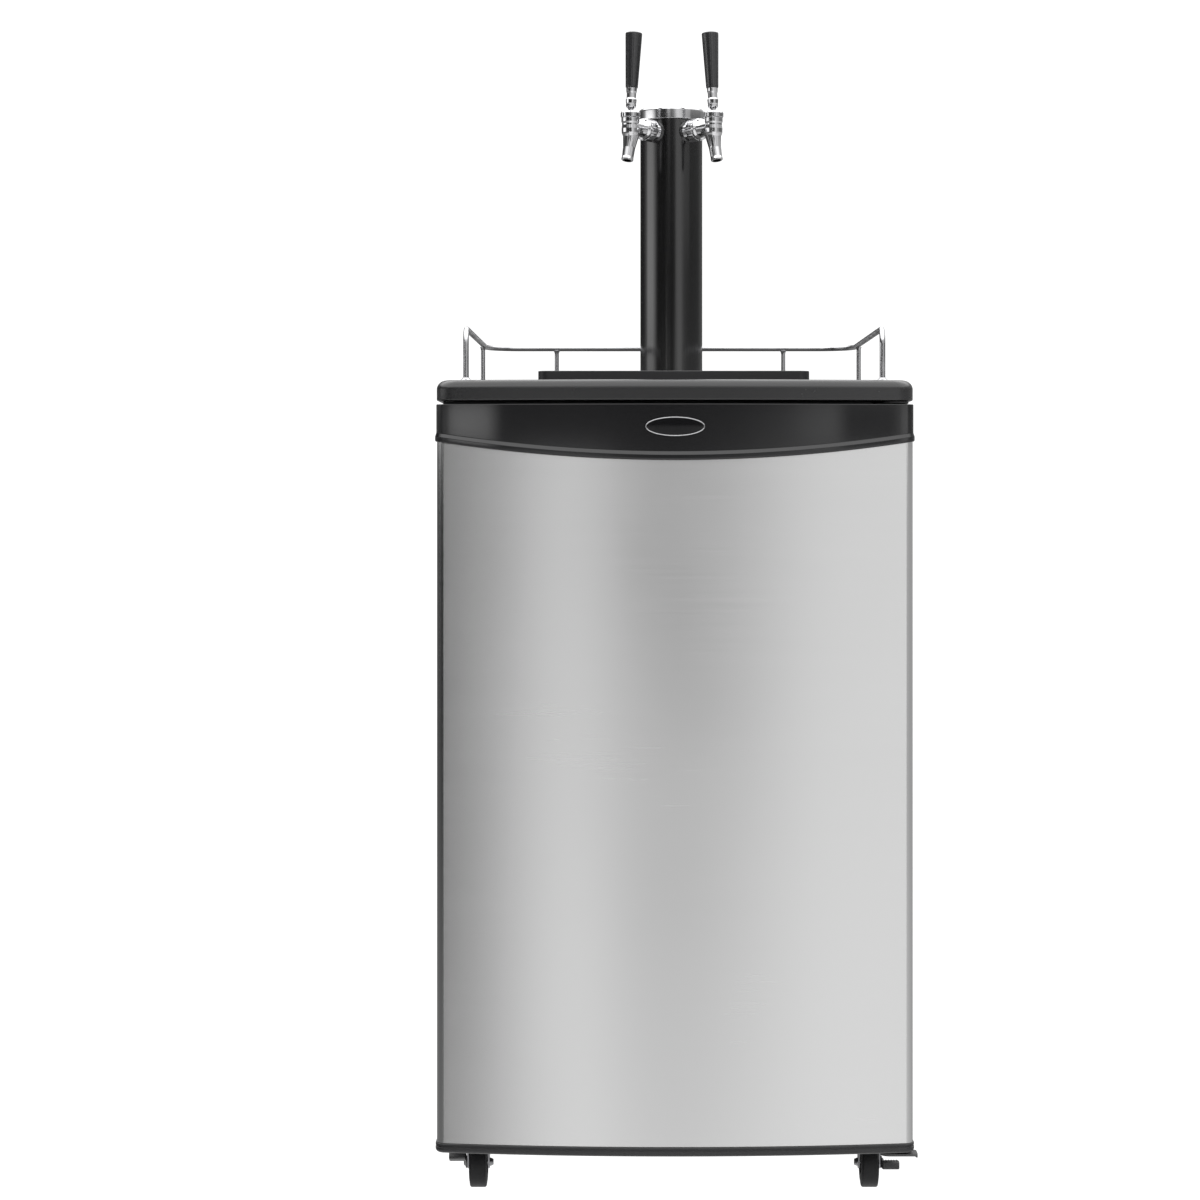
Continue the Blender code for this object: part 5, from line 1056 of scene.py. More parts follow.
class KEGCOOLER_OT_casters(bpy.types.Operator):
    """Builds the four swivel casters with their forks, wheels and the front brake levers"""

    bl_idname = "kegcooler.casters"
    bl_label = "Casters"

    def execute(self, context):
        settings = context.scene.keg_casters
        for end, y in CASTER_Y:
            for name, side in SIDES:
                spot = Vector((side * CASTER_X, y, 0))
                self.fork(end, name, spot)
                self.wheel(settings, end, name, spot)
                if end == "front":
                    self.brake(name, side, spot)
        return {"FINISHED"}

    def fork(self, end, name, spot):
        inner, outer, foot = 0.0108, 0.0128, 0.0070
        crown_z, thick, race = 0.0590, 0.0030, 0.0130
        back, mid_crown, crown_top = TRAIL + foot / 2, crown_z + thick / 2, crown_z + thick
        outline = eased([(-outer, -race), (outer, -race), (outer, back), (-outer, back)],
                        [0.011, 0.011, 0.0025, 0.0025], 8, closed=True)
        leg = eased([(-race * 0.8, mid_crown), (TRAIL - foot, WHEEL + 0.004),
                     (TRAIL - foot * 0.98, WHEEL - foot * 0.98), (TRAIL + foot * 0.98, WHEEL - foot * 0.98),
                     (TRAIL + foot, WHEEL + 0.004), (back - thick / 4, mid_crown)],
                    [0, 0.012, foot * 0.93, foot * 0.93, 0.008, 0], 8)
        legs = [shape(across_x, leg, side * inner, side * (outer - 0.0002)) for side in (-1, 1)]
        mesh = carved(shape(raised, outline, crown_z, crown_top), joined=legs)
        mesh.transform(Matrix.Translation(spot))
        body, stands = f"swivel_{end}_{name}", [f"caster_fork_{end}_{name}"]
        piece(f"fork_{end}_{name}", mesh, "zinc", stands, body=body, edge=0.0005)
        top, race_top = high(stands[0]).z, BODY_BASE - 0.0025 - SEAT
        bm = lathe([(0, crown_top - 0.0004), (0.0122, crown_top - 0.0004), (race, crown_top + 0.0015),
                    (0.0112, crown_top + 0.0028), (race, crown_top + 0.0042), (0.0128, race_top),
                    (0.0040, race_top), (0.0040, top), (0, top)],
                   [0, 0.0006, 0.0008, 0.0008, 0.0008, 0.0008, 0.0004, 0.0006, 0], 5, 48,
                   Matrix.Translation(spot))
        crown = eased([(0, -0.0022), (0.0052, -0.0022), (0.0056, 0.0004), (0, 0.0004)], [0, 0.0012, 0, 0], 5)
        turned(bm, crown, 32, Matrix.Translation(spot + Vector((0, 0, crown_z))))
        piece(f"race_{end}_{name}", bm, "zinc", stands, body=body, crease=40)
        axle = spot + Vector((0, TRAIL, WHEEL))
        reach = outer + 0.0040
        rod_end = Vector((reach - 0.0006, 0, 0))
        bm = shape(bar, 0.0030, axle - rod_end, axle + rod_end, 32, 0.0005)
        for head_name, side in SIDES:
            pedal = end == "front" and head_name == name
            start = outer + (PEDAL_ROOM if pedal else 0.0001)
            head = eased([(0, 0), (0.0046, 0), (0.0046, 0.0007), (0.0034, reach - start), (0, reach - start)],
                         [0, 0, 0.0004, 0.0008, 0], 5)
            turned(bm, head, 32, facing(axle + Vector((side * start, 0, 0)), (side, 0, 0)))
        piece(f"axle_{end}_{name}", bm, "zinc", stands, body=body, crease=40)

    def wheel(self, settings, end, name, spot):
        half, bore, hub = 0.0100, 0.0035, 0.0130
        axle = spot + Vector((0, TRAIL, WHEEL))
        outline = [
            (bore, 0.0004), (0.0052, 0.0004), (0.0060, 0.0022), (hub - 0.0005, 0.0022), (hub + 0.0010, 0),
            (0.0221, 0), (0.0227, 0.0007), (0.0235, 0.0007), (WHEEL, 0.0006), (WHEEL, half),
        ]
        ease = [0, 0.0004, 0.0006, 0.0008, 0.0008, 0.0004, 0.0003, 0.0003, 0.0034, 0]
        corners = [(radius, rise - half) for radius, rise in outline]
        face = [tuple(point) for point in eased(corners, ease, 5)][:-1]
        profile = face + [(radius, -height) for radius, height in reversed(face)]
        body = f"wheel_{end}_{name}"
        piece(f"tyre_{end}_{name}", shape(turned, profile, 96, facing(axle, (1, 0, 0)), True), "wheel",
              [f"caster_wheel_{end}_{name}"], body=body, crease=40)
        bm = bmesh.new()
        for face in (-1, 1):
            for k in range(settings.ribs):
                angle = 2 * pi * k / settings.ribs
                along = Vector((0, cos(angle), sin(angle)))
                across = Vector((0, -sin(angle), cos(angle))) * 0.0007
                near, far = axle + along * 0.0050, axle + along * (hub - 0.0002)
                loft(bm, [[point + Vector((face * (half - depth), 0, 0))
                           for point in (near - across, far - across, far + across, near + across)]
                          for depth in (0.0030, 0.0008)])
        piece(f"hub_ribs_{end}_{name}", bm, "wheel", body=body)

    def brake(self, name, side, spot):
        inner, sheet, arm, half, neck = 0.0128 + SEAT, 0.0015, 0.0255, 0.0045, 0.0100
        outer, tall, boss = inner + sheet, half * 1.03, 0.0068
        outline = [(-arm, -half), (-neck, -half * 1.02)]
        for k in range(25):
            angle = pi * (k / 24 - 0.5) * 1.35
            outline.append((boss * cos(angle), boss * sin(angle)))
        outline += [(-neck, half * 1.02), (-arm, half)]
        plate = shape(across_x, outline, side * inner, side * outer)
        section = eased([(-arm - 0.0060, -tall), (-arm + 0.0060, -tall), (-arm + 0.0060, tall),
                         (-arm - 0.0060, tall)], [0.0022, 0.0012, 0.0012, 0.0022], 5, closed=True)
        tab = shape(loft, [[(side * x, -arm + (p.x + arm) * (1 - shrink), p.y * (1 - shrink)) for p in section]
                           for x, shrink in ((0.5 * (inner + outer), 0.0), (inner + 0.0174, 0.0),
                                             (inner + 0.0186, 0.06), (inner + 0.0190, 0.16))])
        hole = shape(bar, 0.0035, (side * (inner - 0.004), 0, 0), (side * (outer + 0.004), 0, 0), 32)
        tilt = Matrix.Rotation(-brake_lift(side), 4, "X")
        place = Matrix.Translation(spot + Vector((0, TRAIL, WHEEL))) @ tilt
        mesh = carved(plate, joined=[tab], cut=[hole])
        mesh.transform(place)
        piece(f"brake_pedal_{name}", mesh, "brake black", [f"brake_lever_{name}"], body=f"brake_{name}",
              edge=0.0004, crease=45)
        ribs = bmesh.new()
        for k in range(5):
            x = side * (inner + 0.0045 + k * 0.0030)
            box(ribs, (x - 0.0006, -arm - 0.0046, tall - 0.0003), (x + 0.0006, -arm + 0.0046, tall + 0.0005))
        bmesh.ops.transform(ribs, matrix=place, verts=ribs.verts)
        piece(f"brake_grip_{name}", ribs, "brake black", body=f"brake_{name}", edge=0.0002)


# Worktop, rail and tray

class KEGCOOLER_OT_worktop(bpy.types.Operator):
    """Builds the moulded worktop with its rounded edges and bowed front"""

    bl_idname = "kegcooler.worktop"
    bl_label = "Worktop"

    def outline(self, settings, inset):
        corner, opposite = ends_of("worktop")
        half, rear, radius = opposite.x - inset, opposite.y - inset, settings.corner
        stations = bowed(half, corner.y + settings.bow + inset, settings.bow, radius, 64, 10)
        points = [tuple(station[0]) for station in stations]
        for sign, quarter in ((1, 0), (-1, 1)):
            for k in range(11):
                angle = pi / 2 * (quarter + k / 10)
                points.append((sign * (half - radius) + radius * cos(angle),
                               rear - radius + radius * sin(angle)))
        return points

    def execute(self, context):
        settings = context.scene.keg_worktop
        base, top = 0.891, TOP_OF_SLAB
        lower, upper = settings.lower_edge, settings.top_edge
        turns = [pi / 2 * k / 5 for k in range(6)]
        rows = [(lower * (1 - sin(angle)), base + lower * (1 - cos(angle))) for angle in turns]
        turns = [pi / 2 * k / 12 for k in range(13)]
        rows += [(upper * (1 - cos(angle)), top - upper * (1 - sin(angle))) for angle in turns]
        rows.append((upper + 0.010, top))
        slab = shape(loft, [[(x, y, z) for x, y in self.outline(settings, inset)] for inset, z in rows])
        hole = line_hole(base - OVERRUN, top + OVERRUN)
        piece("worktop_slab", carved(slab, cut=[hole]), "worktop", ["worktop"], crease=60)
        corner, opposite = ends_of("cabinet_shell")
        rim, wall, hinge_x, hinge_reach = 0.0015, 0.0075, 0.221, 0.067
        block = shape(box, (corner.x + rim, corner.y + rim, BODY_TOP + 0.0004),
                      (opposite.x - rim, opposite.y - rim, base + 0.0020))
        well = shape(box, (corner.x + wall, corner.y + wall, BODY_TOP - OVERRUN),
                     (opposite.x - wall, opposite.y - wall, base + OVERRUN))
        hinge = shape(box, (hinge_x, corner.y - OVERRUN, BODY_TOP - OVERRUN),
                      (opposite.x + OVERRUN, corner.y + hinge_reach, base))
        piece("worktop_rim", carved(block, cut=[well, hinge]), "door black", ["worktop"])
        return {"FINISHED"}


class KEGCOOLER_OT_rail(bpy.types.Operator):
    """Builds the chrome guard rail with its posts, weld beads and foot caps"""

    bl_idname = "kegcooler.rail"
    bl_label = "Guard Rail"

    def execute(self, context):
        settings = context.scene.keg_rail
        half, front, rear, rise, side_post, rear_post = 0.234, -0.225, 0.220, 0.060, 0.120, 0.145
        height = DECK + rise
        corners = [(-half, front, DECK), (-half, front, height), (-half, rear, height), (half, rear, height),
                   (half, front, height), (half, front, DECK)]
        rod = shape(wire, eased(corners, [0, 0.018, 0.045, 0.045, 0.018, 0], 14), settings.rod, 28)
        piece("rail_wire", rod, "rail chrome", ["guard_rail"])
        posts = [(-half, side_post), (half, side_post), (-rear_post, rear), (rear_post, rear)]
        bead = rise - settings.rod - 0.0040
        profile = [(0, 0), (settings.post, 0), (settings.post, bead)]
        profile += [(settings.post + settings.weld * (k / 5) ** 2, bead + 0.0042 * k / 5) for k in range(1, 6)]
        profile.append((0, bead + 0.0052))
        bm = bmesh.new()
        for x, y in posts:
            turned(bm, profile, 28, Matrix.Translation((x, y, DECK)))
        piece("rail_posts", bm, "rail chrome", ["guard_rail"])
        hub = settings.rod + 0.0006
        cap = eased([(hub - 0.001, 0), (settings.foot, 0), (settings.foot, 0.0012), (hub + 0.0008, 0.0030),
                     (hub, 0.0046), (hub - 0.001, 0.0046)], [0, 0.0005, 0.0008, 0.0012, 0.0005, 0], 4)
        bm = bmesh.new()
        for x, y in posts + [(-half, front), (half, front)]:
            turned(bm, cap, 36, Matrix.Translation((x, y, DECK)), ring=True)
        piece("rail_feet", bm, "rail chrome", ["guard_rail"], crease=50)
        return {"FINISHED"}


class KEGCOOLER_OT_tray(bpy.types.Operator):
    """Builds the drip tray and its slotted grate"""

    bl_idname = "kegcooler.tray"
    bl_label = "Drip Tray"

    def execute(self, context):
        settings = context.scene.keg_tray
        corner, opposite = ends_of("drip_tray")
        radius, wall, ledge, gap = 0.012, 0.0020, 0.0030, 0.014
        top, floor = opposite.z, corner.z + 0.0020
        seat, inside, rim = top - 0.0032, wall + ledge, settings.rim
        section = eased([(0.0012, corner.z), (0.0, corner.z + 0.0015), (0.0, top), (wall, top), (wall, seat),
                         (inside, seat), (inside + 0.0010, floor), (inside + 0.010, floor)],
                        [0, 0.0008, rim, rim * 0.8, 0.0004, 0.0006, 0.0012, 0], 5)
        rings = [[(x, y, p.y) for x, y in footprint("drip_tray", "xy", max(radius - p.x, 0.003), p.x, 8)]
                 for p in section]
        pan = shape(loft, rings)
        piece("tray_pan", pan, "tray black", ["drip_tray"], body="tray", crease=50)

        inset = wall + 0.0012
        span_x = (opposite.x - corner.x) - 2 * (inside + gap)
        span_y = ((opposite.y - corner.y) - 2 * inside - 3 * gap) / 2
        holes = []
        for row in range(2):
            slot_y = corner.y + inside + gap + row * (span_y + gap) + span_y / 2
            for k in range(settings.slots):
                x = span_x * (k / (settings.slots - 1) - 0.5)
                holes.append(oblong(settings.slot / 2, span_y / 2, settings.slot * 0.49, (x, slot_y), 5))
        base = low("drip_grate").z
        grate = shape(sheet_with_holes, footprint("drip_tray", "xy", radius - inset, inset, 8), holes, base,
                      base + 0.0020)
        piece("tray_grate", grate, "grate black", ["drip_grate"], body="grate", edge=0.0004)
        return {"FINISHED"}


# Tower and taps

TOWER_RADIUS = 0.038
SHANK_HOLE = 0.0113
RING_RADIUS = 0.0135
BONNET_RADIUS = 0.0120
TAP_ANGLE = radians(34.5)
TAP_REACH = 0.088
TAP_Z = TOWER_TOP - 0.015
PIVOT_RISE = 0.011
LEVER_LEAN = radians(4.0)


def tap_way(side):
    return Vector((side * sin(TAP_ANGLE), -cos(TAP_ANGLE), 0))


def tap_point(side, reach, rise=0.0):
    """A point on one tap's centre plane, reach from the tower's axis and rise above the shank."""
    return TOWER_AXIS + Vector((0, 0, TAP_Z + rise)) + tap_way(side) * reach


def along_tap(side, reach):
    """A frame on the shank's axis that looks away from the tower."""
    return facing(tap_point(side, reach), tap_way(side))


class KEGCOOLER_OT_tower(bpy.types.Operator):
    """Builds the draught tower: enamelled column, flange with its screws, inner sleeve and chrome cap"""

    bl_idname = "kegcooler.tower"
    bl_label = "Tower"

    def execute(self, context):
        settings = context.scene.keg_tower
        radius, bore, flange, lining = TOWER_RADIUS, 0.036, 0.054, 0.0357
        base = low("tower_column").z
        standing = Matrix.Translation((0, TOWER_AXIS.y, 0))
        column = lathe([(bore, base), (flange, base), (flange, base + 0.0026), (radius + 0.0035, base + 0.0034),
                        (radius, base + 0.0070), (radius, TOWER_TOP), (bore, TOWER_TOP)],
                       [0, 0.0008, 0.0012, 0.0020, 0.0050, 0.0004, 0], 6, 112, standing, True)
        holes = [shape(bar, SHANK_HOLE, tap_point(side, 0.030), tap_point(side, 0.046), 40) for side in (-1, 1)]
        piece("tower_tube", carved(column, cut=holes), "tower enamel", ["tower_column"], crease=40)
        bm = bmesh.new()
        screw_circle = 0.0470
        for k in range(settings.screws):
            angle = pi * (0.25 + 2 * k / settings.screws)
            place = (screw_circle * cos(angle), TOWER_AXIS.y + screw_circle * sin(angle), base + 0.0029)
            screw_head(bm, place, (0, 0, 1), settings.screw, 0.0022, "cross", angle)
        piece("flange_screws", bm, "chrome")
        inner, top = 0.024, TOWER_TOP - 0.042
        foam = shape(turned, [(inner, base), (lining, base), (lining, top), (inner, top)], 64, standing, True)
        piece("tower_foam", foam, "foam", ["tower_insulation"], edge=0.001)

        seat, cap, plug = TOWER_TOP + 0.0003, 0.0402, 0.0033
        cap_top, ceiling = seat + 0.0150, seat + 0.0127
        profile = eased([(0.0337, ceiling), (0.0337, seat - plug), (lining, seat - plug), (lining, seat),
                         (cap, seat), (cap, cap_top - 0.0003), (0.020, cap_top), (0, cap_top)],
                        [0.001, 0.0002, 0.0002, 0.0002, 0.0006, settings.cap_edge, 0, 0], 10)
        lid = shape(turned, [(0, ceiling)] + profile, 112, standing)
        piece("tower_chrome_cap", lid, "chrome", ["tower_cap"], body="cap", crease=50)
        return {"FINISHED"}


def notched(count, depth, radius, sides):
    """Radius shares that cut even grip notches into the outside of a ring."""
    def part(i, wide, height):
        if wide <= radius - 0.0010:
            return 1.0
        return 1.0 - depth / radius * max(0.0, cos(2 * pi * i * count / sides)) ** 6
    return part


class KEGCOOLER_OT_taps(bpy.types.Operator):
    """Builds both taps: shank, collar, nut, body with its spout, bonnet, lever, ferrule, handle and valve"""

    bl_idname = "kegcooler.taps"
    bl_label = "Taps"

    def execute(self, context):
        settings = context.scene.keg_taps
        for name, side in SIDES:
            self.shank(settings, name, side)
            self.body(settings, name, side)
            self.lever(settings, name, side)
        return {"FINISHED"}

    def shank(self, settings, name, side):
        collar_end, coupling_end, elbow_reach, jam_reach = 0.0473, 0.0596, 0.0175, 0.02725
        rod = shape(bar, 0.011, tap_point(side, 0.0265), tap_point(side, coupling_end - 0.00475), 48, 0.0008)
        bend = eased([tap_point(side, 0.0305), tap_point(side, elbow_reach),
                      tap_point(side, elbow_reach, -0.016)], [0, 0.0072, 0], 10)
        elbow = shape(wire, bend, 0.0052, 28)
        jam = shape(turned, [(0, 0), (0.0150, 0), (0.0150, 0.0050), (0, 0.0050)], 6, along_tap(side, jam_reach))
        bore = shape(bar, 0.0045, tap_point(side, 0.0305), tap_point(side, coupling_end), 24)
        piece(f"shank_{name}", carved(rod, joined=[elbow, jam], cut=[bore]), "chrome", [f"faucet_shank_{name}"],
              edge=0.0003)

        edge = settings.edge
        ring = lathe([(SHANK_HOLE, 0), (RING_RADIUS, 0), (RING_RADIUS, 0.0090), (0.0126, 0.0138),
                      (SHANK_HOLE, 0.0138)], [0, 0, 0.0015, edge, 0], 6, 72,
                     along_tap(side, TOWER_RADIUS - 0.0045), True)
        tube = shape(bar, TOWER_RADIUS + SEAT, (0, TOWER_AXIS.y, TAP_Z - 0.03), (0, TOWER_AXIS.y, TAP_Z + 0.03),
                     112)
        piece(f"collar_{name}", carved(ring, cut=[tube]), "chrome", [f"shank_collar_{name}"], crease=40)

        sides, width = 144, 0.0120
        nut = lathe([(SHANK_HOLE, 0), (RING_RADIUS, 0), (RING_RADIUS, width), (SHANK_HOLE, width)],
                    [0, edge, edge, 0], 4, sides, along_tap(side, collar_end + SEAT), True,
                    notched(12, settings.notch, RING_RADIUS, sides))
        piece(f"coupling_ring_{name}", nut, "chrome", [f"coupling_nut_{name}"], crease=35)

    def body(self, settings, name, side):
        start, upward = 0.0599, (0, 0, 1)
        way = tap_way(side)
        reach, tall = TAP_REACH - start, PIVOT_RISE + 0.014
        neck = lathe([(0, 0), (0.0128, 0), (0.0128, 0.0030), (0.0100, 0.0052), (0.0092, 0.0120),
                      (0.0095, reach), (0, reach)], [0, 0.0004, 0.0010, 0.0020, 0.0060, 0, 0], 6, 56,
                     along_tap(side, start))
        riser = lathe([(0, 0), (0.0078, 0.0004), (0.0106, 0.0060), (0.0108, 0.0120), (0.0102, 0.0160),
                       (0.0102, 0.0180), (0.0110, 0.0200), (0.0110, tall), (0, tall)],
                      [0, 0.0030, 0.0060, 0.0030, 0.0015, 0.0012, 0.0008, 0.0005, 0], 5, 56,
                      facing(tap_point(side, TAP_REACH, -0.014), upward))
        tip = tap_point(side, TAP_REACH + 0.007, -0.041)
        root = tap_point(side, TAP_REACH - 0.0035, 0)
        fall = tip - root
        long = fall.length
        spout = lathe([(0, 0), (0.0100, 0.0), (0.0096, long * 0.25), (0.0074, long * 0.62),
                       (0.0070, long * 0.90), (0.0073, long - 0.0014), (0.0070, long), (0, long)],
                      [0, 0, 0.0200, 0.0200, 0.0040, 0.0006, 0.0006, 0], 6, 56, facing(root, fall))
        bore = shape(bar, 0.0057, tap_point(side, start - 0.004), tap_point(side, TAP_REACH + 0.006), 32)
        outlet = shape(bar, 0.0054, root, tip + fall.normalized() * 0.004, 32)
        socket = shape(bar, 0.0060, tap_point(side, TAP_REACH, 0),
                       tap_point(side, TAP_REACH, PIVOT_RISE + 0.004), 40)
        mesh = carved(neck, joined=[riser, spout], cut=[bore, outlet, socket])
        piece(f"tap_casting_{name}", mesh, "chrome", [f"faucet_body_{name}"], crease=32)
        # A near-black disc set inside the spout's outlet: painted shadow where the bore goes dark, not a part of
        # the tap
        dark = shape(bar, 0.0053, root + fall * 0.70, root + fall * 0.70 + fall.normalized() * 0.0006, 32)
        piece(f"spout_bore_{name}", dark, "bore shadow")

        sides = 120
        bonnet = lathe([(0.0084, 0), (BONNET_RADIUS, 0), (BONNET_RADIUS, 0.0054), (0.0104, 0.0075),
                        (0.0084, 0.0075)], [0, settings.edge, 0.0012, 0.0008, 0], 5, sides,
                       facing(tap_point(side, TAP_REACH, PIVOT_RISE + SEAT), upward), True,
                       notched(8, settings.notch * 1.2, BONNET_RADIUS, sides))
        piece(f"bonnet_{name}", bonnet, "chrome", [f"faucet_bonnet_{name}"], crease=35)

        valve = lathe([(0, 0), (0.0028, 0), (0.0028, 0.0208), (0.0040, 0.0208), (0.0040, 0.0260), (0, 0.0260)],
                      [0, 0.0004, 0.0002, 0.0003, 0.0003, 0], 4, 32,
                      facing(tap_point(side, TAP_REACH - 0.0019), -way))
        piece(f"valve_shaft_{name}", valve, "zinc", [f"tap_plunger_{name}"], body=f"plunger_{name}")

    def lever(self, settings, name, side):
        body = f"lever_{name}"
        way = tap_way(side)
        pivot = tap_point(side, TAP_REACH, PIVOT_RISE)
        lean = -way * sin(LEVER_LEAN) + Vector((0, 0, cos(LEVER_LEAN)))
        place = facing(pivot, lean)
        ball, stem, collar = 0.0056, 0.0030, 0.0062
        profile = [(0, -ball)]
        for k in range(1, 13):
            angle = pi * (k / 14 - 0.5)
            if sin(angle) < 0.80:
                profile.append((ball * cos(angle), ball * sin(angle)))
        profile += eased([(stem, 0.0052), (stem, 0.0105), (collar, 0.0132), (collar, 0.0165), (0, 0.0165)],
                         [0, 0.0012, 0.0008, 0.0004, 0], 5)
        tip = shape(bar, 0.0014, pivot - Vector((0, 0, 0.0124)), pivot, 24, 0.0004)
        piece(f"lever_stem_{name}", carved(shape(turned, profile, 40, place), joined=[tip]), "chrome",
              [f"tap_lever_{name}"], body=body, crease=40)

        start, tall = 0.0168, 0.0190
        ferrule = lathe([(0, start), (0.0062, start), (0.0066, start + tall * 0.26),
                         (0.0057, start + tall * 0.36), (0.0057, start + tall * 0.66),
                         (0.0064, start + tall * 0.78), (0.0066, start + tall), (0, start + tall)],
                        [0, 0.0005, 0.0010, 0.0014, 0.0014, 0.0012, 0.0004, 0], 5, 48, place)
        piece(f"ferrule_{name}", ferrule, "chrome", [f"handle_ferrule_{name}"], body=body, crease=40)

        base = start + tall + SEAT
        top = base + 0.0672
        handle = lathe([(0, base), (0.0074, base), (0.0076, base + 0.004), (0.0100, top - 0.006),
                        (0.0102, top - 0.0003), (0, top)], [0, 0.0008, 0.006, 0.004, 0.0014, 0], 6, 56, place)
        piece(f"handle_{name}", handle, "handle black", [f"tap_handle_{name}"], body=body, crease=40)


# Door

DOOR_HALF = 0.2625
DOOR_SIDE = -0.290
DOOR_REAR = -0.248
HINGE = Vector((0.245, -0.268, 0.0))
SKIN = 0.0010
TRIM_HEIGHT = 0.0105
LINER_SHEET = 0.0022
SEAT = 0.0003
PIN_HOLE = 0.0045
PIN_DEPTH = 0.018
PIN_OVERRUN = 0.004
ROLLED_FACE = 0.21


def bowed(half, side_y, bow, radius, front_steps=72, corner_steps=12):
    """Stations along a bowed front from left to right: each a point and its outward direction."""
    bow_radius = (half ** 2 + bow ** 2) / (2 * bow)
    centre_y = side_y - bow + bow_radius
    corner_x = half - radius
    corner_y = centre_y - sqrt((bow_radius - radius) ** 2 - corner_x ** 2)
    swing = atan2(corner_x, centre_y - corner_y)
    left = []
    for k in range(corner_steps + 1):
        angle = pi / 2 + (swing - pi / 2) * k / corner_steps
        outward = Vector((-sin(angle), -cos(angle)))
        left.append((Vector((-corner_x, corner_y)) + outward * radius, outward))
    front = []
    for k in range(1, front_steps):
        angle = swing * (1 - 2 * k / front_steps)
        outward = Vector((-sin(angle), -cos(angle)))
        front.append((Vector((0, centre_y)) + outward * bow_radius, outward))
    right = [(Vector((-p.x, p.y)), Vector((-n.x, n.y))) for p, n in reversed(left)]
    return left + front + right


def door_stations(settings):
    front = bowed(DOOR_HALF, DOOR_SIDE, settings.bow, settings.edge)
    rear = DOOR_REAR - LINER_SHEET - SEAT
    left = [(Vector((-DOOR_HALF, y)), Vector((-1, 0))) for y in (rear, rear - 0.004)]
    right = [(Vector((DOOR_HALF, HINGE.y)), Vector((1, 0)))]
    return left + front + right


def door_outline(settings, offset, rear_y):
    """The door's plan, its hinge-side rear corner rounded about the hinge."""
    outline = [tuple(point + outward * offset) for point, outward in door_stations(settings)]
    outline[0] = (outline[0][0], rear_y)
    reach = DOOR_HALF + offset - HINGE.x
    for k in range(1, 15):
        angle = pi / 2 * k / 14
        outline.append((HINGE.x + reach * cos(angle), HINGE.y + (rear_y - HINGE.y) * sin(angle)))
    return outline


def strip_edge(settings, x):
    """Height of the black strip's lower edge, a shallow smile across the door."""
    reach = x / DOOR_HALF
    return DOOR_TOP - settings.strip_side - settings.strip_sag * (1 - reach * reach)


def door_wall(bm, settings, section):
    """A wall round the door's front and sides; section gives (offset, height) points at a station's x."""
    loft(bm, [[(*(point + outward * offset), height) for offset, height in section(point.x)]
              for point, outward in door_stations(settings)])


def hinge_rod(radius, base, top, edge=0.0):
    """A round rod on the door's hinge line."""
    return shape(bar, radius, (HINGE.x, HINGE.y, base), (HINGE.x, HINGE.y, top), edge=edge)


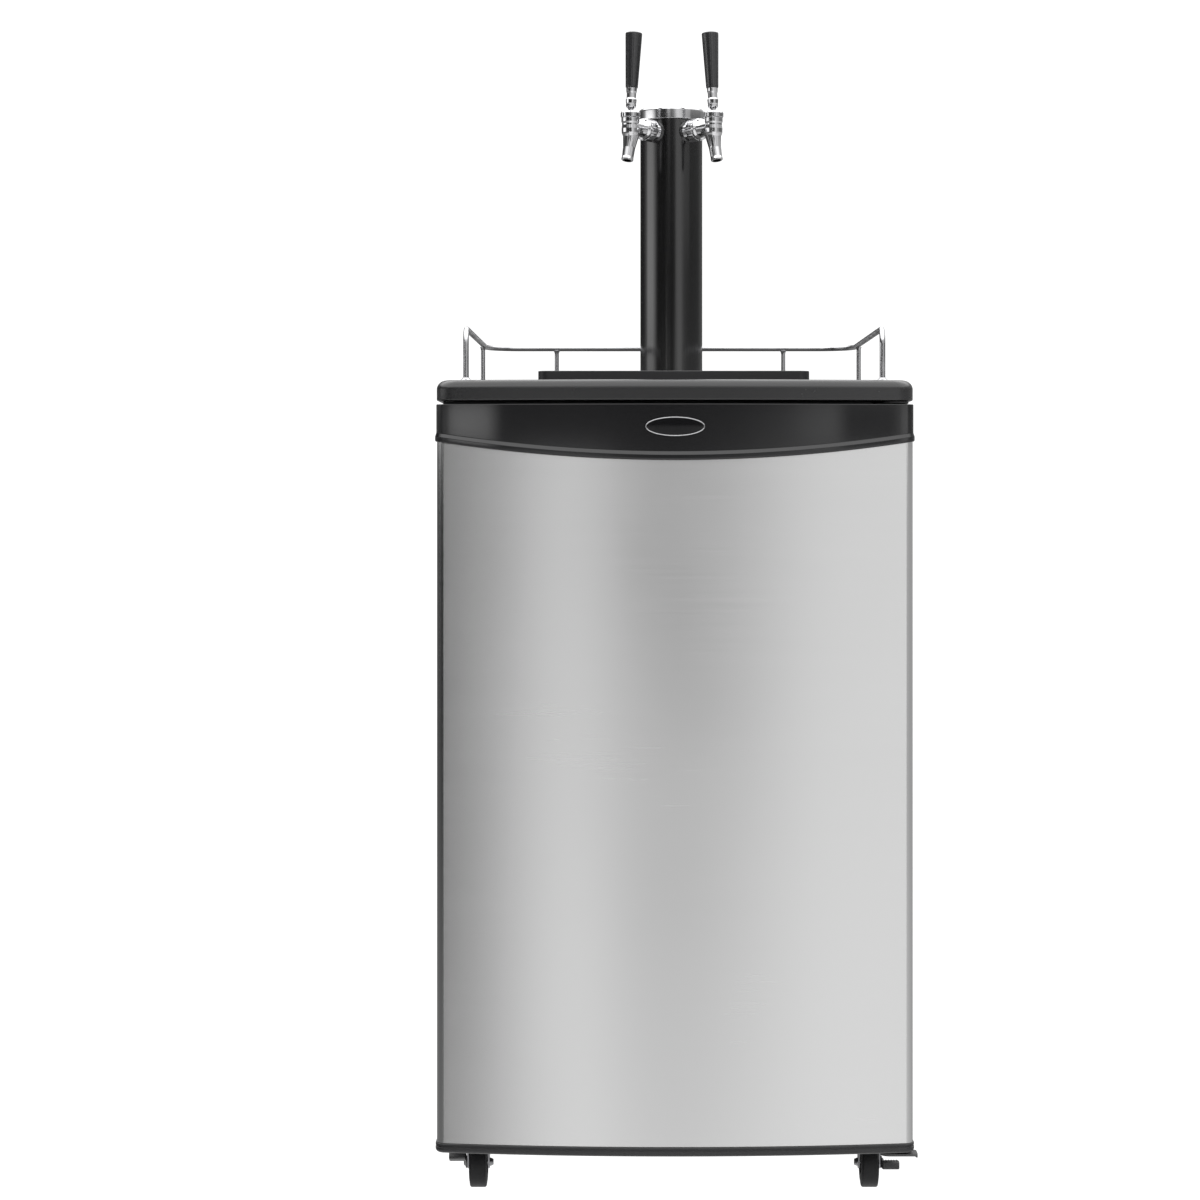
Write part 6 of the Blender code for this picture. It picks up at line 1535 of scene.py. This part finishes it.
class KEGCOOLER_OT_door(bpy.types.Operator):
    """Builds the door: bowed steel skin, black strip with its lip, blank plate, trim, core, liner and gasket"""

    bl_idname = "kegcooler.door"
    bl_label = "Door"

    def execute(self, context):
        settings = context.scene.keg_door
        core_rear = DOOR_REAR - LINER_SHEET - SEAT
        cap_base = DOOR_TOP - 0.0038
        core_low = DOOR_BASE + TRIM_HEIGHT + SEAT
        inset = -SKIN - SEAT

        def steel(x):
            bottom, top = core_low, strip_edge(settings, x) - SEAT
            return [(-SKIN, bottom), (-0.0002, bottom), (0, bottom + 0.0002), (0, top), (-SKIN, top)]

        skin = piece("door_skin_sheet", shape(door_wall, settings, steel), "door steel", ["door_skin"],
                     body="door", crease=30)
        skin.data.materials.append(finish("rolled steel"))
        for face in skin.data.polygons:
            if abs(face.normal.x) > ROLLED_FACE:
                face.material_index = 1

        def strip(x):
            bottom = strip_edge(settings, x)
            rise, tall, proud = settings.lip_rise, settings.lip, 0.0008
            corners = [
                (-SKIN, 0), (rise - 0.0006, 0), (rise, 0.0016), (rise, tall * 0.55), (proud, tall),
                (proud, DOOR_TOP - bottom), (-SKIN, DOOR_TOP - bottom),
            ]
            section = eased(corners, [0, 0.0005, 0.0009, 0.0022, 0.0026, 0.0012, 0], 4)
            return [(point.x, bottom + point.y) for point in section]

        piece("door_strip", shape(door_wall, settings, strip), "strip gloss", ["door_fascia"], body="door",
              crease=50)
        lid = shape(raised, door_outline(settings, inset / 2, core_rear), cap_base, DOOR_TOP)
        upper_hole = (PIN_HOLE, DOOR_TOP - PIN_DEPTH, DOOR_TOP + PIN_OVERRUN)
        lower_hole = (PIN_HOLE, DOOR_BASE - PIN_OVERRUN, DOOR_BASE + PIN_DEPTH)
        piece("door_top_cap", carved(lid, cut=[hinge_rod(*upper_hole)]), "door black", ["door_fascia"],
              body="door", slot="black_gloss", edge=0.0003)

        core = shape(raised, door_outline(settings, inset, core_rear), core_low, cap_base - SEAT)
        holes = [hinge_rod(*lower_hole), hinge_rod(*upper_hole)]
        piece("door_frame", carved(core, cut=holes), "door black", ["door_core"], body="door", slot="foam_core",
              edge=0.0008)

        section = ((-0.0030, 0.0), (-0.0012, 0.0003), (0.0, 0.0011), (0.0010, 0.0024), (0.0015, 0.0040),
                   (0.0015, 0.0062), (0.0009, 0.0066), (0.0009, 0.0078), (0.0014, 0.0082), (0.0014, 0.0100),
                   (0.0010, 0.0105))
        trim = shape(loft, [[(x, y, DOOR_BASE + rise) for x, y in door_outline(settings, offset, DOOR_REAR)]
                            for offset, rise in section])
        piece("door_lower_trim", carved(trim, cut=[hinge_rod(*lower_hole)]), "trim black", ["door_bottom_trim"],
              body="door", crease=30)
        self.plate()
        self.inside()
        return {"FINISHED"}

    def plate(self):
        """A blank oval plate with a bright rim, where such coolers carry a plate."""
        centre, half, front = middle("blank_plate"), half_size("blank_plate"), high("blank_plate").y
        depth, dome = 0.0011, 0.00024
        rows = [(reach, depth * out)
                for reach, out in ((1.0, 0.0), (1.0, 0.55), (0.985, 0.80), (0.955, 0.95), (0.90, 1.0))]
        rows += [(reach, depth + dome * (1 - reach ** 2)) for reach in (0.7, 0.4, 0.15)]

        def oval(reach, inset, out, sides):
            return [(centre.x + x * (half.x - inset) * reach, front - out,
                     centre.z + z * (half.z - inset) * reach) for x, z in circle(1, sides)]

        rings = [oval(reach, 0.0005, out, 72) for reach, out in rows]
        rings.append([(centre.x, front - depth - dome, centre.z)])
        piece("plate_face", shape(loft, rings), "strip gloss", ["blank_plate"], body="door", crease=60)
        rim = shape(wire, oval(1, 0.0009, 0.0009, 96), 0.00055, 12, closed=True)
        piece("plate_rim", rim, "rail chrome", ["blank_plate"], body="door")

    def inside(self):
        """The moulded liner with its raised field, and the folded magnetic gasket."""
        field_x, field_low, field_top, margin = 0.204, 0.132, 0.827, 0.030
        field_mid, field_z = (field_low + field_top) / 2, (field_top - field_low) / 2
        back, face, crest = low("door_liner").y, DOOR_REAR, high("door_liner").y
        half_x, half_z, mid_z = high("door_liner").x, half_size("door_liner").z, middle("door_liner").z
        rings = [[(x, y, z) for x, z in oblong(half_x - inset, half_z - inset, 0.004, (0, mid_z), 8)]
                 for inset, y in ((0, back), (0, face - 0.0006), (0.0006, face))]
        for inset, y, radius in ((-0.0015, face, 0.018), (-0.0002, face + 0.0010, 0.018),
                                 (0.0004, crest - 0.0040, 0.018), (0.0016, crest - 0.0012, 0.017),
                                 (0.0040, crest, 0.015), (0.022, crest, 0.010), (0.0245, crest - 0.0016, 0.009),
                                 (0.030, crest - 0.0022, 0.008)):
            field = oblong(field_x - inset, field_z - inset, radius, (0, field_mid), 8)
            rings.append([(x, y, z) for x, z in field])
        piece("door_inner_panel", shape(loft, rings), "liner white", ["door_liner"], body="door", crease=50)
        bm = bmesh.new()
        for part in (0.2, 0.4, 0.6, 0.8):
            mid = field_low + margin + (field_top - field_low - 2 * margin) * part
            rail = oblong(field_x - 0.034, 0.004, 0.0039, (0, mid), 5)
            loft(bm, [[(x + (shrink if x < 0 else -shrink), crest - sunk, mid + (z - mid) * (1 - shrink * 180))
                       for x, z in rail] for shrink, sunk in ((0.0, 0.0024), (0.0, 0.0014), (0.0012, 0.0007))])
        piece("door_panel_ribs", bm, "liner white", ["door_liner"], body="door", crease=50)

        near, depth = low("door_gasket").y, 2 * half_size("door_gasket").y
        section = [(0.0010, 0.0), (0.0002, 0.12), (0.0012, 0.25), (0.0004, 0.38), (0.0016, 0.52), (0.0, 0.66),
                   (0.0004, 0.88), (0.0016, 1.0), (0.0070, 1.0), (0.0086, 0.93), (0.0102, 1.0), (0.0126, 0.98),
                   (0.0140, 0.80), (0.0136, 0.60), (0.0118, 0.50), (0.0130, 0.34), (0.0118, 0.18),
                   (0.0128, 0.0)]
        rings = [[(x, near + depth * out, z)
                  for x, z in footprint("door_gasket", "xz", max(0.012 - across * 0.5, 0.003), across)]
                 for across, out in section]
        piece("door_seal", shape(loft, rings, closed=True), "gasket", ["door_gasket"], body="door", crease=60)


# Hinges

class KEGCOOLER_OT_hinges(bpy.types.Operator):
    """Builds the upper and lower hinge brackets with their riveted pins and screws"""

    bl_idname = "kegcooler.hinges"
    bl_label = "Hinges"

    def execute(self, context):
        pin_radius, sheet = 0.0040, 0.0025
        corner, opposite = ends_of("hinge_bracket_upper")
        outline = eased([(corner.x, corner.y), (opposite.x, corner.y), (opposite.x, opposite.y),
                         (corner.x, opposite.y)], [0.012, 0.010, 0.006, 0.006], 8, closed=True)
        plate = shape(raised, outline, opposite.z - sheet, opposite.z)
        pin = hinge_rod(pin_radius, corner.z, opposite.z - sheet / 2, 0.0006)
        piece("upper_hinge_plate", carved(plate, joined=[pin]), "hinge paint", ["hinge_bracket_upper"],
              edge=0.0005)
        spots = [(corner.x + 0.012, BODY_FRONT + y, opposite.z - 0.0002) for y in (0.016, 0.044)]
        screws("upper_hinge_screws", spots, (0, 0, 1), 0.0034, 0.0003, "hex")

        corner, opposite = ends_of("hinge_bracket_lower")
        left, seat_right, mid_sheet = corner.x, 0.2585, corner.z + sheet / 2
        outline = eased([(left, corner.y), (opposite.x, corner.y), (opposite.x, corner.y + 0.020),
                         (seat_right, corner.y + 0.030), (seat_right, opposite.y), (left, opposite.y)],
                        [0.010, 0.004, 0.003, 0.006, 0, 0], 6, closed=True)
        plate = shape(raised, outline, corner.z, corner.z + sheet)
        leg = shape(box, (left, opposite.y - sheet, corner.z), (seat_right, opposite.y, corner.z + 0.0255))
        pin = hinge_rod(pin_radius, mid_sheet, opposite.z, 0.0006)
        washer = hinge_rod(0.0070, mid_sheet, DOOR_BASE - SEAT)
        hook = shape(box, (opposite.x - 0.0022, corner.y + 0.003, corner.z - 0.0018),
                     (opposite.x, corner.y + 0.017, mid_sheet))
        piece("lower_hinge_plate", carved(plate, joined=[leg, pin, washer, hook]), "hinge paint",
              ["hinge_bracket_lower"], edge=0.0005)
        spots = [(x, opposite.y - sheet, corner.z + 0.017) for x in (left + 0.009, seat_right - 0.009)]
        screws("lower_hinge_screws", spots, (0, -1, 0), 0.0038, 0.0018)
        return {"FINISHED"}


# Studio

# Brightness of the studio by bearing, in degrees from straight ahead and negative to the camera's left: the
# wall and the floor's edge that the steel sees, and above them what the black strip and the tower see
WALL_BANDS = (
    (-180, 0.30), (-120, 0.10), (-70, 0.07), (-34, 0.03), (-26, 0.03), (-21.5, 0.05), (-18.4, 0.17),
    (-15.5, 0.50), (-12.7, 0.98), (-9.5, 1.16), (-7.4, 1.08), (-5.0, 0.70), (-2.6, 0.40), (0.2, 0.35),
    (3.0, 0.42), (6.8, 0.62), (10.5, 0.88), (14.2, 1.02), (20, 1.02), (26, 0.9), (34, 0.62), (60, 0.55),
    (90, 0.50), (134, 0.50), (180, 0.30),
)
LOW_BANDS = (
    (-180, 0.35), (-70, 0.20), (-30, 0.26), (-22, 0.44), (-18, 0.70), (-15.5, 0.92), (-12, 1.08), (-5, 1.20),
    (0.5, 1.16), (6.8, 1.20), (14, 1.20), (26, 1.14), (40, 0.8), (90, 0.6), (180, 0.35),
)
STRIP_BANDS = (
    (-180, 0.4), (-60, 0.4), (-30, 0.8), (-20.5, 0.9), (-20.1, 2.9), (-17.0, 2.9), (-16.7, 0.34), (-12, 0.22),
    (-2, 0.22), (4, 0.28), (8, 0.45), (12, 0.85), (16.3, 1.40), (16.6, 1.40), (16.9, 0.28), (21.6, 0.28),
    (21.9, 1.7), (30, 1.7), (60, 0.5), (180, 0.4),
)
TOWER_BANDS = (
    (-180, 0.06), (-140, 0.05), (-125, 0.10), (-112, 0.36), (-104, 0.85), (-95, 1.7), (-78, 1.9), (-70, 1.5),
    (-64, 1.0), (-57, 0.34), (-50, 0.06), (-20, 0.03), (8, 0.04), (12, 0.12), (16, 0.52), (20, 0.76),
    (30, 0.84), (39, 0.60), (46, 0.30), (60, 0.18), (90, 0.15), (120, 0.18), (134, 0.25), (180, 0.25),
)
BAND_PEAK = 3.0
# Where each belt starts and ends, as the rise or fall of the line of sight from level
STRIP_BAND_RISE = (0.0175, 0.036)
TOWER_BAND_RISE = (0.036, 0.14)
BAND_EDGE = 1.1
LOW_BAND_FALL = (0.06, 0.24)
FLOOR_FALL = (0.42, 0.80)
CEILING_RISE = (0.40, 0.60)
LENS_SHIFT = (-0.0333, -0.0875)


def bands_by_bearing(tree, bearing, bands):
    """A float curve of brightness round the horizon."""
    curve_node = node(tree, "ShaderNodeFloatCurve")
    curve = curve_node.mapping.curves[0]
    places = [((angle + 180) / 360, value / BAND_PEAK) for angle, value in bands]
    curve.points[0].location = places[0]
    curve.points[1].location = places[-1]
    for place in places[1:-1]:
        curve.points.new(*place)
    for point in curve.points:
        point.handle_type = "AUTO_CLAMPED"
    curve_node.mapping.update()
    tree.links.new(bearing, curve_node.inputs["Value"])
    return curve_node.outputs[0]


def ramp_between(tree, value, low_value, high_value, easing="SMOOTHSTEP"):
    """Zero below one value and one above another, eased between them."""
    inputs = {"From Min": low_value, "From Max": high_value, "Value": value}
    return node(tree, "ShaderNodeMapRange", inputs, interpolation_type=easing).outputs[0]


def mixed_value(tree, factor, first, second):
    """One value blended into another; each is a socket or a number."""
    return node(tree, "ShaderNodeMix", {"Factor": factor, "A": first, "B": second},
                data_type="FLOAT").outputs[0]


def studio_world(settings):
    """White to the camera; to the metal a studio of soft vertical bands, a pale floor and an overhead light."""
    world = bpy.data.worlds.new("studio")
    bpy.context.scene.world = world
    world.use_nodes = True
    tree = world.node_tree
    tree.nodes.clear()
    sky = node(tree, "ShaderNodeTexCoord").outputs["Generated"]
    axes = node(tree, "ShaderNodeSeparateXYZ", {"Vector": sky})
    ahead = math_node(tree, "MULTIPLY", axes.outputs["Y"], -1.0)
    bearing = math_node(tree, "ARCTAN2", axes.outputs["X"], ahead)
    turn_share = ramp_between(tree, bearing, -pi, pi, "LINEAR")
    wall, lower, strip, tower = [bands_by_bearing(tree, turn_share, bands)
                                 for bands in (WALL_BANDS, LOW_BANDS, STRIP_BANDS, TOWER_BANDS)]
    rise = axes.outputs["Z"]
    fall = math_node(tree, "MULTIPLY", rise, -1.0)
    room = mixed_value(tree, ramp_between(tree, fall, *LOW_BAND_FALL), wall, lower)
    for (above, until), bands in ((STRIP_BAND_RISE, strip), (TOWER_BAND_RISE, tower)):
        start = ramp_between(tree, rise, above, above * BAND_EDGE)
        end = ramp_between(tree, rise, until, until * BAND_EDGE)
        room = mixed_value(tree, math_node(tree, "SUBTRACT", start, end), room, bands)
    room = math_node(tree, "MULTIPLY", room, BAND_PEAK)
    room = mixed_value(tree, ramp_between(tree, fall, *FLOOR_FALL), room, settings.floor_glow)
    room = mixed_value(tree, ramp_between(tree, rise, *CEILING_RISE), room, settings.overhead)
    room = math_node(tree, "MULTIPLY", room, settings.room)
    to_camera = node(tree, "ShaderNodeLightPath").outputs["Is Camera Ray"]
    strength = mixed_value(tree, to_camera, room, settings.backdrop)
    light = node(tree, "ShaderNodeBackground", {"Color": (1, 1, 1, 1), "Strength": strength})
    node(tree, "ShaderNodeOutputWorld", {"Surface": light.outputs[0]})


def area_light(name, place, target, size, power):
    lamp = bpy.data.lights.new(name, "AREA")
    lamp.energy = power
    lamp.shape = "RECTANGLE"
    lamp.size = lamp.size_y = size
    holder = bpy.data.objects.new(name, lamp)
    bpy.context.scene.collection.objects.link(holder)
    holder.location = place
    holder.rotation_euler = (Vector(target) - Vector(place)).to_track_quat("-Z", "Y").to_euler()
    holder.visible_camera = False


def studio_floor():
    thickness, radius = 0.004, 7.0
    disc = shape(turned, [(0, -thickness), (radius, -thickness), (radius, 0.0), (0, 0.0)], 96)
    mesh = to_mesh(disc, "studio_floor")
    mesh.materials.append(finish("studio floor"))
    slab = bpy.data.objects.new("studio_floor", mesh)
    bpy.context.scene.collection.objects.link(slab)
    slab.visible_camera = False
    slab.visible_glossy = False


class KEGCOOLER_OT_stage(bpy.types.Operator):
    """Builds the pale floor, the soft studio light and the camera at the photograph's place"""

    bl_idname = "kegcooler.stage"
    bl_label = "Studio and Camera"

    def execute(self, context):
        settings = context.scene.keg_stage
        lens = bpy.data.cameras.new("front_camera")
        lens.lens = settings.lens
        lens.sensor_width = 36.0
        lens.shift_x, lens.shift_y = LENS_SHIFT
        lens.clip_end = 60.0
        camera = bpy.data.objects.new("front_camera", lens)
        context.scene.collection.objects.link(camera)
        camera.location = (settings.offset, low("door_gasket").y - 0.042 - settings.distance, settings.height)
        camera.rotation_euler = (pi / 2, 0, 0)
        context.scene.camera = camera
        context.scene.view_settings.view_transform = "Standard"
        studio_world(settings)
        studio_floor()
        target = (0, 0, 0.6)
        area_light("key_light", (-1.9, -2.6, 3.0), target, 2.2, settings.key)
        area_light("fill_light", (2.6, -1.8, 2.2), target, 1.8, settings.key * 0.5)
        area_light("back_light", (0.6, 2.6, 2.6), (0, 0, 0.8), 1.8, settings.key * 0.6)
        return {"FINISHED"}


# Finishes

class KEGCOOLER_OT_finishes(bpy.types.Operator):
    """Makes every finish that the pieces use"""

    bl_idname = "kegcooler.finishes"
    bl_label = "Finishes"

    def execute(self, context):
        scene = context.scene
        door, cabinet, taps, casters = scene.keg_door, scene.keg_cabinet, scene.keg_taps, scene.keg_casters
        machinery = scene.keg_machinery
        makers = Finishes()
        upward, level = (0, 0, 1), (1, 1, 0)
        makers.brushed("door steel", door.steel, 0.25, upward, level, door.brushing, 900.0, 3.0, 0.82, 0.0)
        makers.brushed("rolled steel", door.steel, 0.10, upward, level, door.brushing, 900.0, 3.0, 0.0, 0.0)
        makers.painted("strip gloss", door.strip, 0.06, 300.0, 0.01, dust=0.02, rub=0.03)
        makers.painted("door black", (0.016, 0.016, 0.017), 0.42, 700.0, 0.10)
        makers.painted("trim black", (0.012, 0.012, 0.013), 0.30, 620.0, 0.04, specular=0.4)
        makers.painted("cabinet paint", cabinet.paint, 0.38, 380.0, 0.22)
        makers.painted("hinge paint", (0.024, 0.024, 0.025), 0.36, 380.0, 0.16, rub=0.4)
        makers.painted("worktop", scene.keg_worktop.tone, 0.26, 640.0, 0.10, dust=0.04)
        makers.painted("tray black", (0.014, 0.014, 0.015), 0.36, 620.0, 0.12)
        makers.painted("grate black", (0.018, 0.018, 0.019), 0.30, 620.0, 0.08, rub=0.3)
        makers.painted("tower enamel", scene.keg_tower.enamel, 0.14, 260.0, 0.02, dust=0.04, rub=0.05,
                       specular=1.0)
        makers.painted("handle black", taps.handle, 0.18, 500.0, 0.0, dust=0.02, rub=0.03, size=9.0,
                       specular=0.8)
        makers.painted("machine enamel", machinery.pot, 0.30, 300.0, 0.10, coat=0.3, dust=0.25, rub=0.3)
        makers.painted("liner white", cabinet.liner, 0.34, 300.0, 0.04, dust=0.02, rub=0.0)
        makers.painted("gasket", door.gasket, 0.62, 900.0, 0.10)
        makers.painted("rubber", (0.020, 0.020, 0.020), 0.72, 900.0, 0.25)
        makers.painted("wheel", casters.tyre, 0.50, 700.0, 0.10, dust=0.05, rub=0.1, specular=0.25)
        makers.painted("brake black", (0.016, 0.016, 0.017), 0.40, 700.0, 0.10, rub=0.3)
        makers.painted("foam", (0.62, 0.55, 0.36), 0.92, 220.0, 0.9, dust=0.05, rub=0.0, spread=0.04)
        makers.painted("bore shadow", (0.004, 0.004, 0.004), 0.7, 500.0, 0.0)
        makers.polished("chrome", taps.chrome, 0.085)
        makers.polished("rail chrome", (0.48, 0.48, 0.49), 0.24)
        makers.polished("zinc", casters.plate, 0.30)
        makers.brushed("galvanised", (0.56, 0.57, 0.58), 0.42, (1, 1, 1), (1, 0, 0), 0.08, 260.0, 20.0, 0.0,
                       0.03)
        makers.brushed("aluminium", (0.78, 0.79, 0.80), 0.38, upward, (1, 0, 0), 0.05, 500.0, 8.0, 0.3, 0.03)
        makers.painted("studio floor", scene.keg_stage.floor, 0.55, 60.0, 0.0, dust=0.0, rub=0.0)
        makers.polished("copper", machinery.copper, 0.26)
        makers.clear_hose("hose", (0.72, 0.74, 0.72), 0.30)
        return {"FINISHED"}


GROUPS = (
    ("keg_cabinet", CabinetSettings), ("keg_worktop", WorktopSettings), ("keg_rail", RailSettings),
    ("keg_tray", TraySettings), ("keg_tower", TowerSettings), ("keg_taps", TapSettings),
    ("keg_door", DoorSettings), ("keg_machinery", MachinerySettings), ("keg_casters", CasterSettings),
    ("keg_stage", StageSettings),
)
STEPS = (
    KEGCOOLER_OT_finishes, KEGCOOLER_OT_cabinet, KEGCOOLER_OT_interior, KEGCOOLER_OT_worktop, KEGCOOLER_OT_rail,
    KEGCOOLER_OT_tray, KEGCOOLER_OT_tower, KEGCOOLER_OT_taps, KEGCOOLER_OT_door, KEGCOOLER_OT_hinges,
    KEGCOOLER_OT_machinery, KEGCOOLER_OT_casters, KEGCOOLER_OT_stage,
)


class KEGCOOLER_PT_dressing(bpy.types.Panel):
    """Lists the cooler's groups and their settings"""

    bl_label = "Keg Cooler"
    bl_idname = "KEGCOOLER_PT_dressing"
    bl_space_type = "VIEW_3D"
    bl_region_type = "UI"
    bl_category = "Keg Cooler"

    def draw(self, context):
        layout = self.layout
        for step in STEPS:
            layout.operator(step.bl_idname)
        for pointer, group in GROUPS:
            settings = getattr(context.scene, pointer)
            column = layout.box().column()
            column.label(text=pointer.removeprefix("keg_").title())
            for name in group.__annotations__:
                column.prop(settings, name)


def register():
    for pointer, group in GROUPS:
        bpy.utils.register_class(group)
        setattr(bpy.types.Scene, pointer, PointerProperty(type=group))
    for step in STEPS:
        bpy.utils.register_class(step)
    bpy.utils.register_class(KEGCOOLER_PT_dressing)


def unregister():
    bpy.utils.unregister_class(KEGCOOLER_PT_dressing)
    for step in reversed(STEPS):
        bpy.utils.unregister_class(step)
    for pointer, group in reversed(GROUPS):
        delattr(bpy.types.Scene, pointer)
        bpy.utils.unregister_class(group)


def main():
    register()
    for step in STEPS:
        family, action = step.bl_idname.split(".")
        result = getattr(getattr(bpy.ops, family), action)()
        if result != {"FINISHED"}:
            raise RuntimeError(f"{step.bl_idname} didn't finish")


if __name__ == "__main__":
    main()
